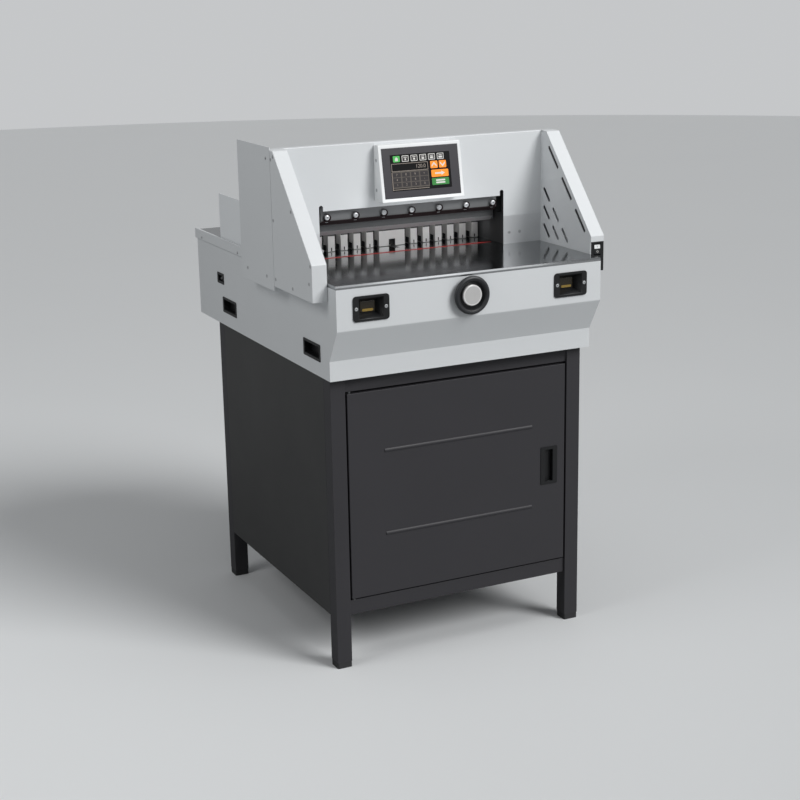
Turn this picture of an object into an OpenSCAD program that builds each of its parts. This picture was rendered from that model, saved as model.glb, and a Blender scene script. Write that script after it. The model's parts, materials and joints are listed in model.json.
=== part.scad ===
// Electric paper cutter: a guillotine head and steel table on a cabinet stand.
// +X is the operator's right, +Y points to the rear, +Z is up, and the floor is at zero.

/* [Layout] */
// Sideways place of the cutting centre line, from the middle of the machine
cut_x = -11; // [-16:1:10]
// Thickness of the folded cover sheets
sheet = 1.5; // [1:0.1:2]
// Room between flat faces that pass each other
gap = 0.5; // [0.3:0.1:0.8]
// Radial running clearance of shafts, pins and nuts
run = 0.05; // [0.02:0.01:0.1]

/* [Stand] */
// How far the stand's legs stand in from the body's sides
stand_inset = 10.5; // [8:0.5:16]
// Depth of the stand over its legs
stand_d = 776; // [740:1:800]
// Height of the stand from the floor
stand_h = 764; // [700:1:820]
// Side of the square tube
tube = 40; // [34:1:46]
// Wall of the square tube
tube_wall = 2; // [1.5:0.1:3]
// Height of the foot caps below the tubes
foot_h = 16; // [10:1:24]
// Length of the foot cap's plug inside the tube
foot_plug = 25; // [15:1:40]
// Corner radius of the foot caps
foot_round = 4; // [2:0.5:6]
// Height of the lower rails' underside
rail_z = 139; // [110:1:170]
// Height of the lower rails
rail_h = 39; // [30:1:46]
// How far the front rails stand back behind the legs
rail_set = 6; // [2:0.5:9]
// How far the stand's panels hang below the lower rails
panel_drop = 3; // [1:0.5:6]

/* [Cabinet door] */
// Gap around the door
door_gap = 4.5; // [4.3:0.1:7]
// Thickness of the folded door
door_t = 18; // [14:0.5:18]
// Sheet of the door
door_sheet = 1.2; // [1:0.1:2]
// Diameter of the hinge pins
hinge_d = 8; // [6:0.5:9]
// Height of the hinge blocks inside the door
hinge_block_h = 20; // [14:1:30]
// Distance of the pressed beads' ends from the door's edges
bead_margin = 99.5; // [80:0.5:140]
// Height of a pressed bead across its length
bead_w = 10; // [6:0.5:14]
// How far a bead stands out of the door
bead_rise = 2; // [1:0.1:3]
// Height of the lower bead above the door's lower edge
bead_low = 160; // [120:1:200]
// Distance between the two beads
bead_step = 219; // [180:1:240]
// Width of the pull's flange
pull_w = 50; // [44:1:60]
// Height of the pull's flange
pull_h = 103; // [96:1:120]
// Width of the pull's mouth
pull_mouth_w = 23; // [18:1:30]
// Height of the pull's mouth
pull_mouth_h = 86; // [70:1:90]
// Depth of the pull's pocket
pull_depth = 13; // [8:1:14]
// Distance of the pull's middle from the door's free edge
pull_edge = 48; // [40:1:70]
// Height of the pull's middle above the door's lower edge
pull_z = 267; // [200:1:330]
// Wall of the moulded plastic cups
cup_wall = 2; // [1.5:0.1:3]
// Flange thickness of the moulded plastic cups
cup_flange = 1.5; // [1:0.1:3]
// Corner radius of the moulded plastic cups' flanges
cup_round = 3; // [2:0.5:5]
// Length of the magnet catch
catch_len = 40; // [30:1:60]
// Height of the magnet catch
catch_h = 14; // [10:1:20]
// Depth of the magnet catch
catch_d = 14; // [10:1:18]

/* [Body] */
// Width of the body
body_w = 734; // [726:1:760]
// How far the front panel stands out over the stand
panel_overhang = 76; // [60:1:95]
// How far the front lip stands out over the stand
lip_overhang = 27; // [15:1:40]
// Height of the front lip
lip_h = 50; // [40:1:70]
// Height of the undercut slope
slope_h = 82; // [60:1:100]
// Height of the front panel
panel_h = 101; // [90:1:115]
// How far the body stands out behind the stand
rear_overhang = 124; // [100:1:150]
// Length of a carry handle's flange
handle_w = 104; // [90:1:120]
// Height of a carry handle's flange
handle_h = 43; // [36:1:50]
// Width of a carry handle's rim
handle_rim = 5; // [4:0.5:7]
// Depth of a carry handle's pocket
handle_depth = 20; // [14:1:20]
// Height of the handles' middle above the body's underside
handle_z = 59; // [50:1:70]
// Distance of the front handles' middle behind the lip
handle_front = 106; // [90:1:120]
// Distance of the rear handles' middle from the body's rear
handle_rear = 246; // [220:1:260]
// Length of the power inlet's flange
inlet_w = 50; // [46:1:56]
// Height of the power inlet's flange
inlet_h = 30; // [28:1:36]
// Width of the inlet's rim
inlet_rim = 5; // [4:0.5:7]
// Depth of the power inlet's socket
inlet_depth = 16; // [10:1:20]
// Distance of the inlet's middle from the body's rear
inlet_rear = 183; // [150:1:200]
// Height of the inlet's middle above the body's underside
inlet_z = 130; // [115:1:150]
// Height of the strips along the rear table
strip_h = 28; // [22:1:34]
// How far those strips stand above the table
strip_rise = 5; // [2:0.5:8]
// Thickness of the strips along the rear table
strip_t = 6.5; // [4:0.5:9]

/* [Table] */
// Thickness of the table plate
table_t = 9; // [8:0.5:14]
// Chamfer along the table's front edge
table_edge = 4; // [2:0.5:5]
// Width of the cutting stick
stick_w = 14; // [10:0.5:18]
// Height of the cutting stick
stick_h = 6; // [5:0.5:7]
// Half length of the cutting stick
stick_half = 256; // [240:1:262]
// Depth of the knife mark in the cutting stick
stick_mark = 1.2; // [1:0.1:2]
// Width of the slot that the gauge tongue runs in
slot_w = 14; // [12:0.5:18]
// Room beyond the gauge tongue at the slot's ends
slot_room = 5; // [3:0.5:8]

/* [Head] */
// Room between the raised clamp screw and the head's top
head_room = 27.5; // [20:0.5:40]
// Distance of the front sheet behind the front panel
sheet_setback = 298; // [290:1:302]
// Room between the front sheet and the blade bolts
knife_front = 13; // [10:0.5:18]
// Height of the throat's upper edge above the raised knife edge
throat_rise = 70; // [60:1:75]
// Width of the notches at the throat's upper corners
notch_w = 11; // [8:0.5:14]
// How far the notches reach above the throat
notch_rise = 15; // [10:1:20]
// Height of the splash plates beside the throat
splash_h = 75; // [60:1:90]
// Depth of the front sheet's top flange
flange_d = 20; // [15:1:30]
// Distance of the housings' front seam before the front sheet
seam_lead = 9; // [5:0.5:12]
// Depth of the rear housings
housing_d = 224; // [215:1:240]
// Width of the rear housings
housing_w = 95; // [85:1:100]
// How far the rear housings hang below the table top
housing_drop = 57; // [50:1:65]
// How far the drive housing's cheek stands above the head
cheek_rise = 6; // [3:0.5:9]
// How far the head cover falls towards the rear
cover_fall = 43; // [38:1:48]
// Height of the rear mouth above the table
mouth_h = 104; // [90:1:115]
// Height of the rear side guides
guide_h = 126; // [100:1:140]
// Width of the rear side guides' foot
guide_foot = 15; // [10:1:20]
// Distance of the rear side guides from the table's sides
guide_inset = 3; // [2:0.5:30]
// Distance of the side guides' rear end from the body's rear
guide_rear = 192; // [150:1:220]

/* [Wings] */
// Thickness of a wing
wing_t = 39; // [34:1:45]
// Gap between a wing and the body
wing_gap = 1; // [0.5:0.1:2]
// Distance of the wings' nose behind the front panel
wing_setback = 48; // [40:1:60]
// How far the wings hang below the table top
wing_drop = 45; // [40:1:50]
// Height of the wings' nose above the table
wing_nose = 46; // [40:1:52]
// Distance of the slant's upper end before the front sheet
slant_lead = 28; // [24:1:42]
// Distance of the slant's upper end below the top
slant_drop = 1.5; // [1:0.5:10]
// Width of the slots in the wing plates
vent_w = 9.5; // [6:0.5:11]
// Length of a long slot
vent_long = 72; // [60:1:78]
// Distance of the last long slot from the slant's upper end
vent_end = 35; // [26:1:42]
// Distance of the first long slot from the wing's nose, along the slant
vent_long_start = 25; // [20:1:34]
// Distance of the long slots from the slant
vent_inset = 17; // [15:1:20]
// Length of a short slot
vent_short = 45; // [38:1:48]
// Distance between the short slots, front to rear
vent_col = 46; // [42:1:48]
// Distance between the rows of short slots
vent_row = 48; // [44:1:50]
// Distance of the last short slot from the front sheet
vent_rear = 31; // [28:1:36]
// Height of the lowest row above the table
vent_z = 31; // [28:1:38]
// Side of the light guard bars
bar_side = 18; // [14:1:20]
// How far the light guard bars reach past the long slots
bar_end = 3; // [1:0.5:6]
// Depth of the switch box in the right wing
switch_d = 60; // [50:1:80]
// Height of the switch box
switch_h = 76; // [72:1:80]
// Width of the main switch
rocker_w = 19; // [14:0.5:22]
// Height of the main switch
rocker_h = 26; // [20:0.5:28]
// Thickness of the main switch
rocker_t = 8; // [6:0.5:9]
// Tilt of the main switch to each side
rocker_tilt = 8; // [5:1:9]
// Diameter of the main switch's pivot
rocker_pin = 4; // [3:0.5:5]
// Distance of the main switch's middle below the switch box's top
rocker_down = 20; // [18:1:24]
// Room around the main switch
rocker_room = 2; // [1.5:0.5:4]
// How far the main switch's pivot reaches on each side
pivot_reach = 2.5; // [2:0.5:4]

/* [Controls] */
// Width of the control box
control_w = 234; // [220:1:250]
// Sideways place of the control box
control_x = -5; // [-15:1:10]
// Distance of the control box's top below the head's top
control_down = 7; // [3:0.5:12]
// Height of the control box
control_h = 142; // [135:1:146]
// Depth of the control box at its top
control_top = 23; // [18:1:30]
// Depth of the control box at its foot
control_foot = 48; // [40:1:55]
// Wall of the control box
control_wall = 2; // [1.5:0.1:3]
// White rim of the control box around the touch panel
control_rim = 9; // [7:0.5:12]
// Thickness of the touch panel
glass_t = 4; // [3:0.5:6]
// Distance of the button bezels' middle from the body's sides
bezel_inset = 90; // [80:1:105]
// Width of a button bezel
bezel_w = 95; // [90:1:102]
// Height of a button bezel
bezel_h = 62; // [58:1:66]
// Corner radius of a button bezel
bezel_round = 8; // [5:1:10]
// Thickness of a bezel's flange
bezel_t = 3; // [2:0.5:4]
// Room behind a pressed cut button
button_room = 2; // [1:0.5:4]
// Depth of a cut button's face behind the front panel
button_face = 20; // [16:1:20]
// Width of the bezel beside its recess
bezel_side = 14.5; // [12:0.5:18]
// Width of the bezel above and below its recess
bezel_rim = 6; // [4:0.5:9]
// Width of a cut button
button_w = 40; // [34:1:44]
// Height of a cut button
button_h = 28; // [22:1:30]
// Thickness of a cut button
button_t = 8; // [6:0.5:10]
// Travel of a cut button
button_travel = 4; // [3:0.5:5]
// Diameter of a cut button's stem
button_stem = 8; // [6:0.5:10]
// Outer radius of the handwheel
wheel_r = 48; // [42:1:49]
// How far the handwheel stands out of the front panel
wheel_reach = 20; // [16:1:26]
// Inner radius of the handwheel's rim
wheel_rim = 35; // [33:1:38]
// Radius of the handwheel's silver cap
cap_r = 26; // [22:1:28]
// Thickness of the silver cap
cap_t = 7; // [5:0.5:8]
// Chamfer of the silver cap
cap_edge = 1.5; // [1:0.1:2.5]
// Gap between the handwheel and the front panel
wheel_back = 1; // [0.6:0.1:2]
// How much narrower the handwheel's back is than its rim
wheel_edge = 9; // [2:0.5:11]
// Depth of the handwheel's dish below the cap's seat
wheel_dish = 3; // [2:0.5:5]
// Room around the handwheel's shaft in the front panel
shaft_clear = 2; // [1:0.5:4]
// Distance of the handwheel's axis below the table top
wheel_drop = 55; // [54:1:58]

/* [Knife] */
// Height of the raised knife edge above the table
knife_open = 60; // [55:1:65]
// How far the knife dips into the cutting stick
knife_dip = 0.5; // [0.3:0.1:0.8]
// Height of the blade
blade_h = 104; // [95:1:106]
// Thickness of the blade
blade_t = 11; // [9:0.5:12]
// Height of the ground bevel
bevel_h = 12; // [10:0.5:16]
// Distance of the knife's ends from the throat's sides
beam_gap = 11; // [8:0.5:14]
// Depth of the knife beam
beam_t = 22; // [20:0.5:24]
// Height of the knife beam
beam_h = 84; // [80:1:86]
// Distance of the knife beam's main face above the knife edge
beam_rise = 40; // [36:1:44]
// Height of the set-back strip under the knife beam
strip_step_h = 10; // [8:0.5:12]
// How far that strip is set back
strip_step_d = 8; // [6:0.5:10]
// Distance from one blade bolt to the next
bolt_step = 79.6; // [76:0.1:82]
// Least distance of a blade bolt from the knife's ends
bolt_edge = 12; // [10:0.5:20]
// Height of the blade bolts above the beam's main lower edge
bolt_rise = 12; // [10:0.5:15]
// Radius of a blade bolt's head
bolt_head_r = 6.5; // [5:0.5:8]
// Height of a blade bolt's head
bolt_head_h = 6; // [4:0.5:8]
// Radius of a blade bolt's shank
bolt_r = 4; // [3:0.5:5]
// Radius of a knife screw
screw_r = 8; // [6:0.5:9]
// Distance of the knife screws' axes outside the columns
screw_out = 32; // [30:0.5:34]
// Distance of the knife screws' axes from the nearer body panel
screw_side = 30.5; // [29:0.5:36]
// Height of the knife beam's arms
arm_h = 35; // [30:1:40]
// Distance of the arms below the beam's top
arm_drop = 5; // [3:0.5:8]
// Radius of the nut bosses on the arms
nut_r = 16; // [13:0.5:17]
// Radius of the belt pulleys
pulley_r = 22; // [18:0.5:23]
// Width of the toothed belt
belt_w = 16; // [12:1:20]
// Thickness of the toothed belt
belt_t = 3; // [2:0.5:4]
// Gap between belt and pulley faces
belt_gap = 0.3; // [0.3:0.05:0.5]
// Height of the belt's middle above the body's underside
belt_z = 126; // [120:1:130]

/* [Clamp] */
// Distance of the raised clamp above the knife edge
clamp_rise = 2; // [1:0.5:4]
// Distance left under the lowered clamp
clamp_stop = 2; // [1:0.5:4]
// Depth of the clamp beam
clamp_d = 52; // [48:1:54]
// Height of the clamp beam
clamp_h = 57; // [50:1:60]
// Distance of the clamp's ends from the columns
clamp_gap = 5; // [3:0.5:8]
// Depth of the clamp's solid front bar
clamp_bar = 26; // [24:1:27]
// Room beside the gauge fingers in the clamp's slots
comb_gap = 3; // [2:0.5:3]
// Radius of the clamp's guide rods
clamp_rod_r = 8; // [6:0.5:9]
// Distance of the guide rods from the clamp's ends
clamp_rod_inset = 63; // [40:1:90]
// Spare length of the guide rods above the cross beam
clamp_rod_spare = 5; // [3:0.5:8]
// Radius of the clamp screw
clamp_screw_r = 8; // [6:0.5:9]
// Radius of the clamp's drive nut
drive_nut_r = 18; // [15:1:20]
// Height of the clamp's drive nut
drive_nut_h = 20; // [16:1:24]
// Spare length of the clamp screw above its nut
clamp_screw_spare = 2; // [1:0.5:5]
// Wall of the clamp's gearbox around the nut
nut_wall = 8; // [5:0.5:12]
// Length of the clamp's gearbox beside the nut
clamp_box_len = 120; // [110:1:140]
// Height of the clamp's motor above its gearbox
clamp_motor_h = 25; // [20:1:30]
// Distance of the clamp's motor from the nut
clamp_motor_x = 80; // [70:1:85]
// Room between the clamp's motor and its gearbox's sides
clamp_motor_rim = 3; // [2:0.5:6]

/* [Frame] */
// Room around the knife's arms in the columns
arm_clear = 2; // [1:0.5:4]
// Room around the toothed belt in the bed and the columns
belt_clear = 5; // [3:0.5:8]
// Thickness of the side columns
column_t = 24; // [18:1:24]
// Room between the throat and the columns
column_gap = 3; // [2.5:0.5:4]
// Room between the columns and the rear cover
column_rear = 14; // [8:0.5:20]
// Room between the columns and the head cover's rear edge
column_room = 17; // [10:0.5:24]
// Height of the cross beam
cross_h = 40; // [34:1:42]
// Depth of the cross beam
cross_d = 66; // [60:1:75]
// Room between the blade and the cross beam
cross_front = 2; // [1:0.5:3]
// Distance of the cross beam above the raised clamp
cross_rise = 25; // [20:1:26]
// Thickness of the bed's base plate
base_t = 10; // [8:0.5:12]
// Room between the base plate and the body panels
base_gap = 8; // [5:0.5:10]
// Thickness of the bed's walls
bed_wall = 12; // [10:0.5:16]
// Half distance between the bed's long walls
bed_half = 109; // [104:1:120]
// Length of the bed's long walls
bed_len = 742; // [735:1:745]
// Room between the gauge motor and the body's rear
motor_rear = 8; // [4:0.5:12]
// Height of a screw's lower bearing block
bearing_h = 60; // [50:1:70]
// Height of a screw's upper bearing block
bearing_top_h = 20; // [16:1:24]
// Outer radius of the lead screw bearings
bearing_r = 20; // [17:0.5:22]
// Length of the knife motor
motor_len = 150; // [130:1:160]
// Radius of the knife motor
motor_r = 42; // [36:1:44]
// Distance of the motor's axis from the knife screw's axis
motor_offset = 35; // [30:1:38]
// Height of the motor's underside above the bed
motor_foot = 5; // [2:0.5:8]
// Half depth of the worm gearbox
gear_half = 40; // [34:1:46]
// Thickness of the motor's flange
motor_flange = 10; // [6:0.5:14]

/* [Back gauge] */
// Distance of the gauge behind the cutting line in the photographed place
gauge_rest = 81; // [75:1:90]
// Shortest gauge distance behind the cutting line
gauge_near = 35; // [32:1:40]
// Room between the gauge carriage and the bed's rear wall at the far end
gauge_end = 3; // [1:0.5:8]
// Height of the gauge fingers
finger_h = 65; // [58:1:68]
// Width of a gauge finger
finger_w = 20; // [16:0.5:21]
// Distance from one finger to the next
finger_step = 37; // [37:0.5:37.5]
// Least room between the gauge's ends and the columns
gauge_side = 4; // [3:0.5:6]
// Width of the gauge's back plate beyond the last finger
gauge_rim = 2; // [1:0.5:5]
// Distance of the first finger from the gauge's middle
finger_first = 65; // [64:0.5:65]
// Depth of the fingers
finger_d = 30; // [28:1:36]
// Half width of the centre block
hub_half = 38; // [34:0.5:39]
// Depth of the centre block
hub_d = 67; // [62:1:72]
// Thickness of the gauge's back plate
plate_t = 22; // [16:1:24]
// Gap between the gauge and the table
gauge_lift = 1; // [0.5:0.1:2]
// Width of the notches at the gauge's foot
foot_notch_w = 8; // [6:0.5:10]
// Height of the notches at the gauge's foot
foot_notch_h = 15; // [10:1:20]
// Width of the drive notch in the centre block
drive_notch = 18; // [15:1:22]
// Room between the gauge carriage and the bed's long walls
carriage_gap = 19; // [10:0.5:24]
// Depth of the gauge carriage
carriage_d = 70; // [60:1:72]
// Height of the gauge carriage
carriage_h = 45; // [40:1:50]
// Width of the gauge tongue
tongue_w = 12; // [9:0.5:12]
// Depth of the gauge tongue
tongue_d = 30; // [26:1:32]
// Distance of the tongue's middle behind the gauge's face
tongue_lead = 35; // [33:1:38]
// Radius of the lead screw
lead_r = 10; // [8:0.5:12]
// Radius of the lead screw's journals
journal_r = 6; // [5:0.5:7]
// Radius of the gauge's guide rods
rod_r = 8; // [6:0.5:10]
// Distance of the guide rods from the lead screw
rod_x = 70; // [60:1:75]
// Side of the gauge motor
gauge_motor_w = 60; // [50:1:70]
// Length of the gauge motor
gauge_motor_len = 48; // [40:1:50]
// Wall at the gauge motor's rear
motor_cover = 4; // [3:0.5:6]

/* [Hidden] */
$fn = 64;
eps = 1;

// Heights
z_body = stand_h;
z_lip = z_body + lip_h;
z_panel = z_lip + slope_h;
z_under = z_panel + panel_h;
z_table = z_under + table_t;
z_rail = rail_z + rail_h;
z_door = z_rail + door_gap;
z_door_top = stand_h - tube - door_gap;
z_base = z_body + sheet;
z_deck = z_base + base_t;
z_screw = z_table - wheel_drop;
z_edge = z_table + knife_open;
z_clamp = z_edge + clamp_rise;
z_clamp_top = z_clamp + clamp_h;
z_cross = z_clamp_top + cross_rise;
z_cross_top = z_cross + cross_h;
z_nut = z_cross_top + gap;
z_nut_top = z_nut + drive_nut_h;
knife_travel = knife_open + knife_dip;
clamp_travel = z_clamp - z_table - clamp_stop;
z_clamp_screw = z_nut_top + clamp_travel + clamp_screw_spare;
z_top = z_clamp_screw + head_room;
z_throat = z_edge + throat_rise;
z_wing = z_table - wing_drop;
z_nose = z_table + wing_nose;
z_slant = z_top - slant_drop;
z_switch = z_wing + switch_h;
z_beam = z_edge + beam_rise;
z_beam_top = z_beam + beam_h;
z_arm_top = z_beam_top - arm_drop;
z_arm = z_arm_top - arm_h;
z_bolt = z_beam + bolt_rise;
z_bezel = z_panel + panel_h / 2;
z_finger = z_table + gauge_lift;
z_finger_top = z_finger + finger_h;
z_belt = z_body + belt_z;
z_cover_rear = z_top - cover_fall;
z_column = z_cover_rear - column_room;
z_mouth = z_table + mouth_h;

// Depths, with the whole machine centred front to rear
body_d = panel_overhang + stand_d + rear_overhang;
y_panel = (wheel_reach - body_d) / 2;
y_rear = y_panel + body_d;
y_stand = y_panel + panel_overhang;
y_stand_rear = y_stand + stand_d;
y_lip = y_stand - lip_overhang;
y_sheet = y_panel + sheet_setback;
y_behind = y_sheet + sheet;
y_flange = y_sheet + flange_d;
y_beam = y_sheet + knife_front + bolt_head_h;
y_blade = y_beam + beam_t;
y_cut = y_blade + blade_t;
y_seam = y_sheet - seam_lead;
y_housing = y_seam + housing_d;
y_nose = y_panel + wing_setback;
y_slant = y_sheet - slant_lead;
y_screw = (y_beam + y_blade) / 2;
y_clamp = y_cut + gap;
y_clamp_rear = y_clamp + clamp_d;
y_rods = y_clamp + clamp_bar / 2;
y_cross = y_cut + cross_front;
y_column = y_behind;
y_column_rear = y_housing - sheet - column_rear;
y_gauge = y_cut + gauge_rest;
y_hub_rear = y_gauge + hub_d;
y_carriage = y_gauge + tongue_lead;
y_bed_rear = y_rear - motor_rear - gauge_motor_len;
y_bed = y_bed_rear - bed_len;
gauge_back = y_bed_rear - bed_wall - gauge_end - carriage_d / 2 - y_carriage;

// Sideways places
x_body = body_w / 2;
x_wing = x_body + wing_gap;
x_outer = x_wing + wing_t;
x_housing = x_outer - housing_w;
x_leg = x_body - stand_inset;
x_leg_in = x_leg - tube;
x_door = x_leg_in - door_gap;
bead_len = 2 * (x_door - bead_margin);
screw_x = x_body - sheet - abs(cut_x) - screw_side;
column_out = screw_x - screw_out;
column_in = column_out - column_t;
throat_half = column_in - column_gap;
beam_half = throat_half - beam_gap;
bolt_n = floor((beam_half - bolt_edge) / bolt_step);
clamp_half = column_in - clamp_gap;
clamp_rod_x = clamp_half - clamp_rod_inset;
arm_half = screw_x + nut_r;
belt_room = pulley_r + belt_gap + belt_t + belt_clear;
finger_last = column_in - gauge_side - gauge_rim - finger_w / 2;
finger_n = floor((finger_last - finger_first) / finger_step) + 1;
gauge_half = finger_first + (finger_n - 1) * finger_step + finger_w / 2 + gauge_rim;
carriage_w = 2 * (bed_half - carriage_gap);
guide_x = x_body - guide_inset;
bezel_x = x_body - bezel_inset;
mouth_w = bezel_w - 2 * bezel_side;
mouth_z = bezel_h - 2 * bezel_rim;
bezel_depth = button_face + button_t + button_travel + button_room + cup_wall;
x_pull = x_door - pull_edge;

// Angles
slope_a = atan((panel_overhang - lip_overhang) / slope_h);
slant_a = atan((y_slant - y_nose) / (z_slant - z_nose));
slant_len = norm([y_slant - y_nose, z_slant - z_nose]);
vent_long_step = (slant_len - vent_long_start - vent_end - vent_long) / 2;
bar_len = 2 * vent_long_step + vent_long + 2 * bar_end;
control_a = atan((control_foot - control_top) / control_h);
cover_a = atan(cover_fall / (y_housing - y_flange));

// Hinge axis of the cabinet door
hinge_x = -x_door + door_t / 2;
hinge_y = y_stand + door_t / 2;

// Profile of a wing from the side, nose first
wing_profile = [
    [y_nose, z_wing],
    [y_seam, z_wing],
    [y_seam, z_top],
    [y_slant, z_slant],
    [y_nose, z_nose]
];
// The right wing's profile makes room for the switch box
wing_profile_right = [
    [y_nose + switch_d, z_wing],
    [y_seam, z_wing],
    [y_seam, z_top],
    [y_slant, z_slant],
    [y_nose, z_nose],
    [y_nose, z_switch],
    [y_nose + switch_d, z_switch]
];

// Unit normal to the left of a path from a to b
function left_of(a, b) = let (u = (b - a) / norm(b - a)) [-u[1], u[0]];

// Corners of a counter-clockwise outline drawn in by a distance
function inset(p, d) = [
    for (i = [0 : len(p) - 1])
        let (
            n = len(p),
            m1 = left_of(p[(i + n - 1) % n], p[i]),
            m2 = left_of(p[i], p[(i + 1) % n])
        )
        p[i] + d * (m1 + m2) / (1 + m1 * m2)
];

// Height of the falling head cover at a depth
function cover_z(y) = z_top - (y - y_flange) * tan(cover_a);

// Sideways places of the gauge fingers, from the gauge's middle
finger_x = [
    for (side = [-1, 1])
        for (i = [0 : finger_n - 1])
            side * (finger_first + i * finger_step)
];

// Box between two limits along each axis
module block(x, y, z) {
    translate([x[0], y[0], z[0]])
        cube([x[1] - x[0], y[1] - y[0], z[1] - z[0]]);
}

// Side outline, in depth and height, drawn across a stretch of X
module side_plate(points, x) {
    translate([x[0], 0, 0])
        rotate([90, 0, 90])
            linear_extrude(x[1] - x[0])
                polygon(points);
}

// Round rod along Z
module rod_z(x, y, z, r) {
    translate([x, y, z[0]])
        cylinder(h = z[1] - z[0], r = r);
}

// Round rod along Y
module rod_y(x, y, z, r) {
    translate([x, y[0], z])
        rotate([-90, 0, 0])
            cylinder(h = y[1] - y[0], r = r);
}

// Round rod along X
module rod_x(x, y, z, r) {
    translate([x[0], y, z])
        rotate([0, 90, 0])
            cylinder(h = x[1] - x[0], r = r);
}

// Rectangle with round corners, centred
module round_rect(w, h, r) {
    square([w - 2 * r, h], center = true);
    square([w, h - 2 * r], center = true);
    for (sx = [-1, 1])
        for (sy = [-1, 1])
            translate([sx * (w / 2 - r), sy * (h / 2 - r)])
                circle(r);
}

// Slot with round ends, centred and upright
module slot_2d(len, w) {
    square([w, len - w], center = true);
    for (s = [-1, 1])
        translate([0, s * (len - w) / 2])
            circle(w / 2);
}

// Children on both sides of the machine's middle
module both_sides() {
    children();
    mirror([1, 0, 0])
        children();
}

// Children on both sides of the cutting centre line
module about_cut() {
    translate([cut_x, 0, 0])
        both_sides()
            children();
}

// Stand

// Outer tubes of the stand, or their hollow when drawn in by the wall
module stand_tubes(d, leg_z) {
    both_sides() {
        for (y = [y_stand, y_stand_rear - tube])
            block([x_leg_in + d, x_leg - d], [y + d, y + tube - d], leg_z);
        for (z = [[rail_z, z_rail], [stand_h - tube, stand_h]])
            block([x_leg_in + d, x_leg - sheet - d],
                  [y_stand + tube - d - eps, y_stand_rear - tube + d + eps], [z[0] + d, z[1] - d]);
    }
    for (z = [[rail_z, z_rail], [stand_h - tube, stand_h]]) {
        block([-x_leg_in - d - eps, x_leg_in + d + eps], [y_stand + rail_set + d, y_stand + tube - d],
              [z[0] + d, z[1] - d]);
        block([-x_leg_in - d - eps, x_leg_in + d + eps],
              [y_stand_rear - tube + d, y_stand_rear - sheet - d], [z[0] + d, z[1] - d]);
    }
}

module stand_frame() {
    color("#3C3B3F")
        difference() {
            stand_tubes(0, [foot_h, stand_h]);
            stand_tubes(tube_wall, [foot_h - eps, stand_h - tube_wall]);
        }
}

module stand_side_panels() {
    color("#363636")
        both_sides()
            block([x_leg - sheet, x_leg], [y_stand + tube, y_stand_rear - tube],
                  [rail_z - panel_drop, stand_h]);
}

module stand_back_panel() {
    color("#363636")
        block([-x_leg_in, x_leg_in], [y_stand_rear - sheet, y_stand_rear],
              [rail_z - panel_drop, stand_h]);
}

module stand_floor() {
    color("#38383A")
        difference() {
            block([-x_leg + sheet + gap, x_leg - sheet - gap],
                  [y_stand + door_t + 2 * gap, y_stand_rear - sheet - gap], [z_rail, z_rail + sheet]);
            both_sides()
                for (y = [y_stand, y_stand_rear - tube])
                    block([x_leg_in - gap, x_leg + eps], [y - eps, y + tube + gap],
                          [z_rail - eps, z_rail + sheet + eps]);
        }
}

module foot_caps() {
    inner = tube - 2 * tube_wall - gap;
    color("#1C1C1E")
        both_sides()
            for (y = [y_stand, y_stand_rear - tube])
                translate([x_leg - tube / 2, y + tube / 2, 0]) {
                    linear_extrude(foot_h)
                        round_rect(tube, tube, foot_round);
                    translate([0, 0, foot_h])
                        linear_extrude(foot_plug)
                            square(inner, center = true);
                }
}

// Cabinet door

// One pressed bead, a low arc that stands out of the door's face
module door_bead(z) {
    bead_r = (bead_w * bead_w / 4 + bead_rise * bead_rise) / (2 * bead_rise);
    intersection() {
        rod_x([-bead_len / 2, bead_len / 2], y_stand + bead_r - bead_rise, z, bead_r);
        block([-bead_len / 2, bead_len / 2], [y_stand - bead_rise, y_stand + door_sheet],
              [z - bead_w, z + bead_w]);
    }
}

module cabinet_door() {
    color("#3A393D")
        difference() {
            union() {
                difference() {
                    block([-x_door, x_door], [y_stand, y_stand + door_t], [z_door, z_door_top]);
                    block([-x_door + door_sheet, x_door - door_sheet],
                          [y_stand + door_sheet, y_stand + door_t + eps],
                          [z_door + door_sheet, z_door_top - door_sheet]);
                }
                for (z = [z_door, z_door_top - hinge_block_h])
                    block([-x_door, -x_door + door_t], [y_stand, y_stand + door_t], [z, z + hinge_block_h]);
                for (i = [0, 1])
                    door_bead(z_door + bead_low + i * bead_step);
            }
            rod_z(hinge_x, hinge_y, [z_door - eps, z_door + hinge_block_h + eps], hinge_d / 2 + run);
            rod_z(hinge_x, hinge_y, [z_door_top - hinge_block_h - eps, z_door_top + eps], hinge_d / 2 + run);
            translate([x_pull, y_stand, z_door + pull_z])
                cube([pull_mouth_w + 2 * cup_wall + gap, 4 * door_sheet, pull_mouth_h + 2 * cup_wall + gap],
                     center = true);
        }
}

// Moulded cup with a flange, its mouth towards -Y at the origin
module cup(flange_w, flange_h, mouth_width, mouth_height, depth) {
    translate([0, -cup_flange, 0])
        rotate([-90, 0, 0])
            difference() {
                union() {
                    linear_extrude(cup_flange)
                        round_rect(flange_w, flange_h, cup_round);
                    linear_extrude(cup_flange + depth)
                        square([mouth_width + 2 * cup_wall, mouth_height + 2 * cup_wall], center = true);
                }
                translate([0, 0, -eps])
                    linear_extrude(eps + cup_flange + depth - cup_wall)
                        square([mouth_width, mouth_height], center = true);
            }
}

module door_pull() {
    color("#17171A")
        translate([x_pull, y_stand, z_door + pull_z])
            cup(pull_w, pull_h, pull_mouth_w, pull_mouth_h, pull_depth);
}

module door_hinge_pins() {
    color("#9A9CA0") {
        rod_z(hinge_x, hinge_y, [z_rail, z_door + hinge_block_h], hinge_d / 2);
        rod_z(hinge_x, hinge_y, [z_door_top - hinge_block_h, stand_h - tube], hinge_d / 2);
    }
}

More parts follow.
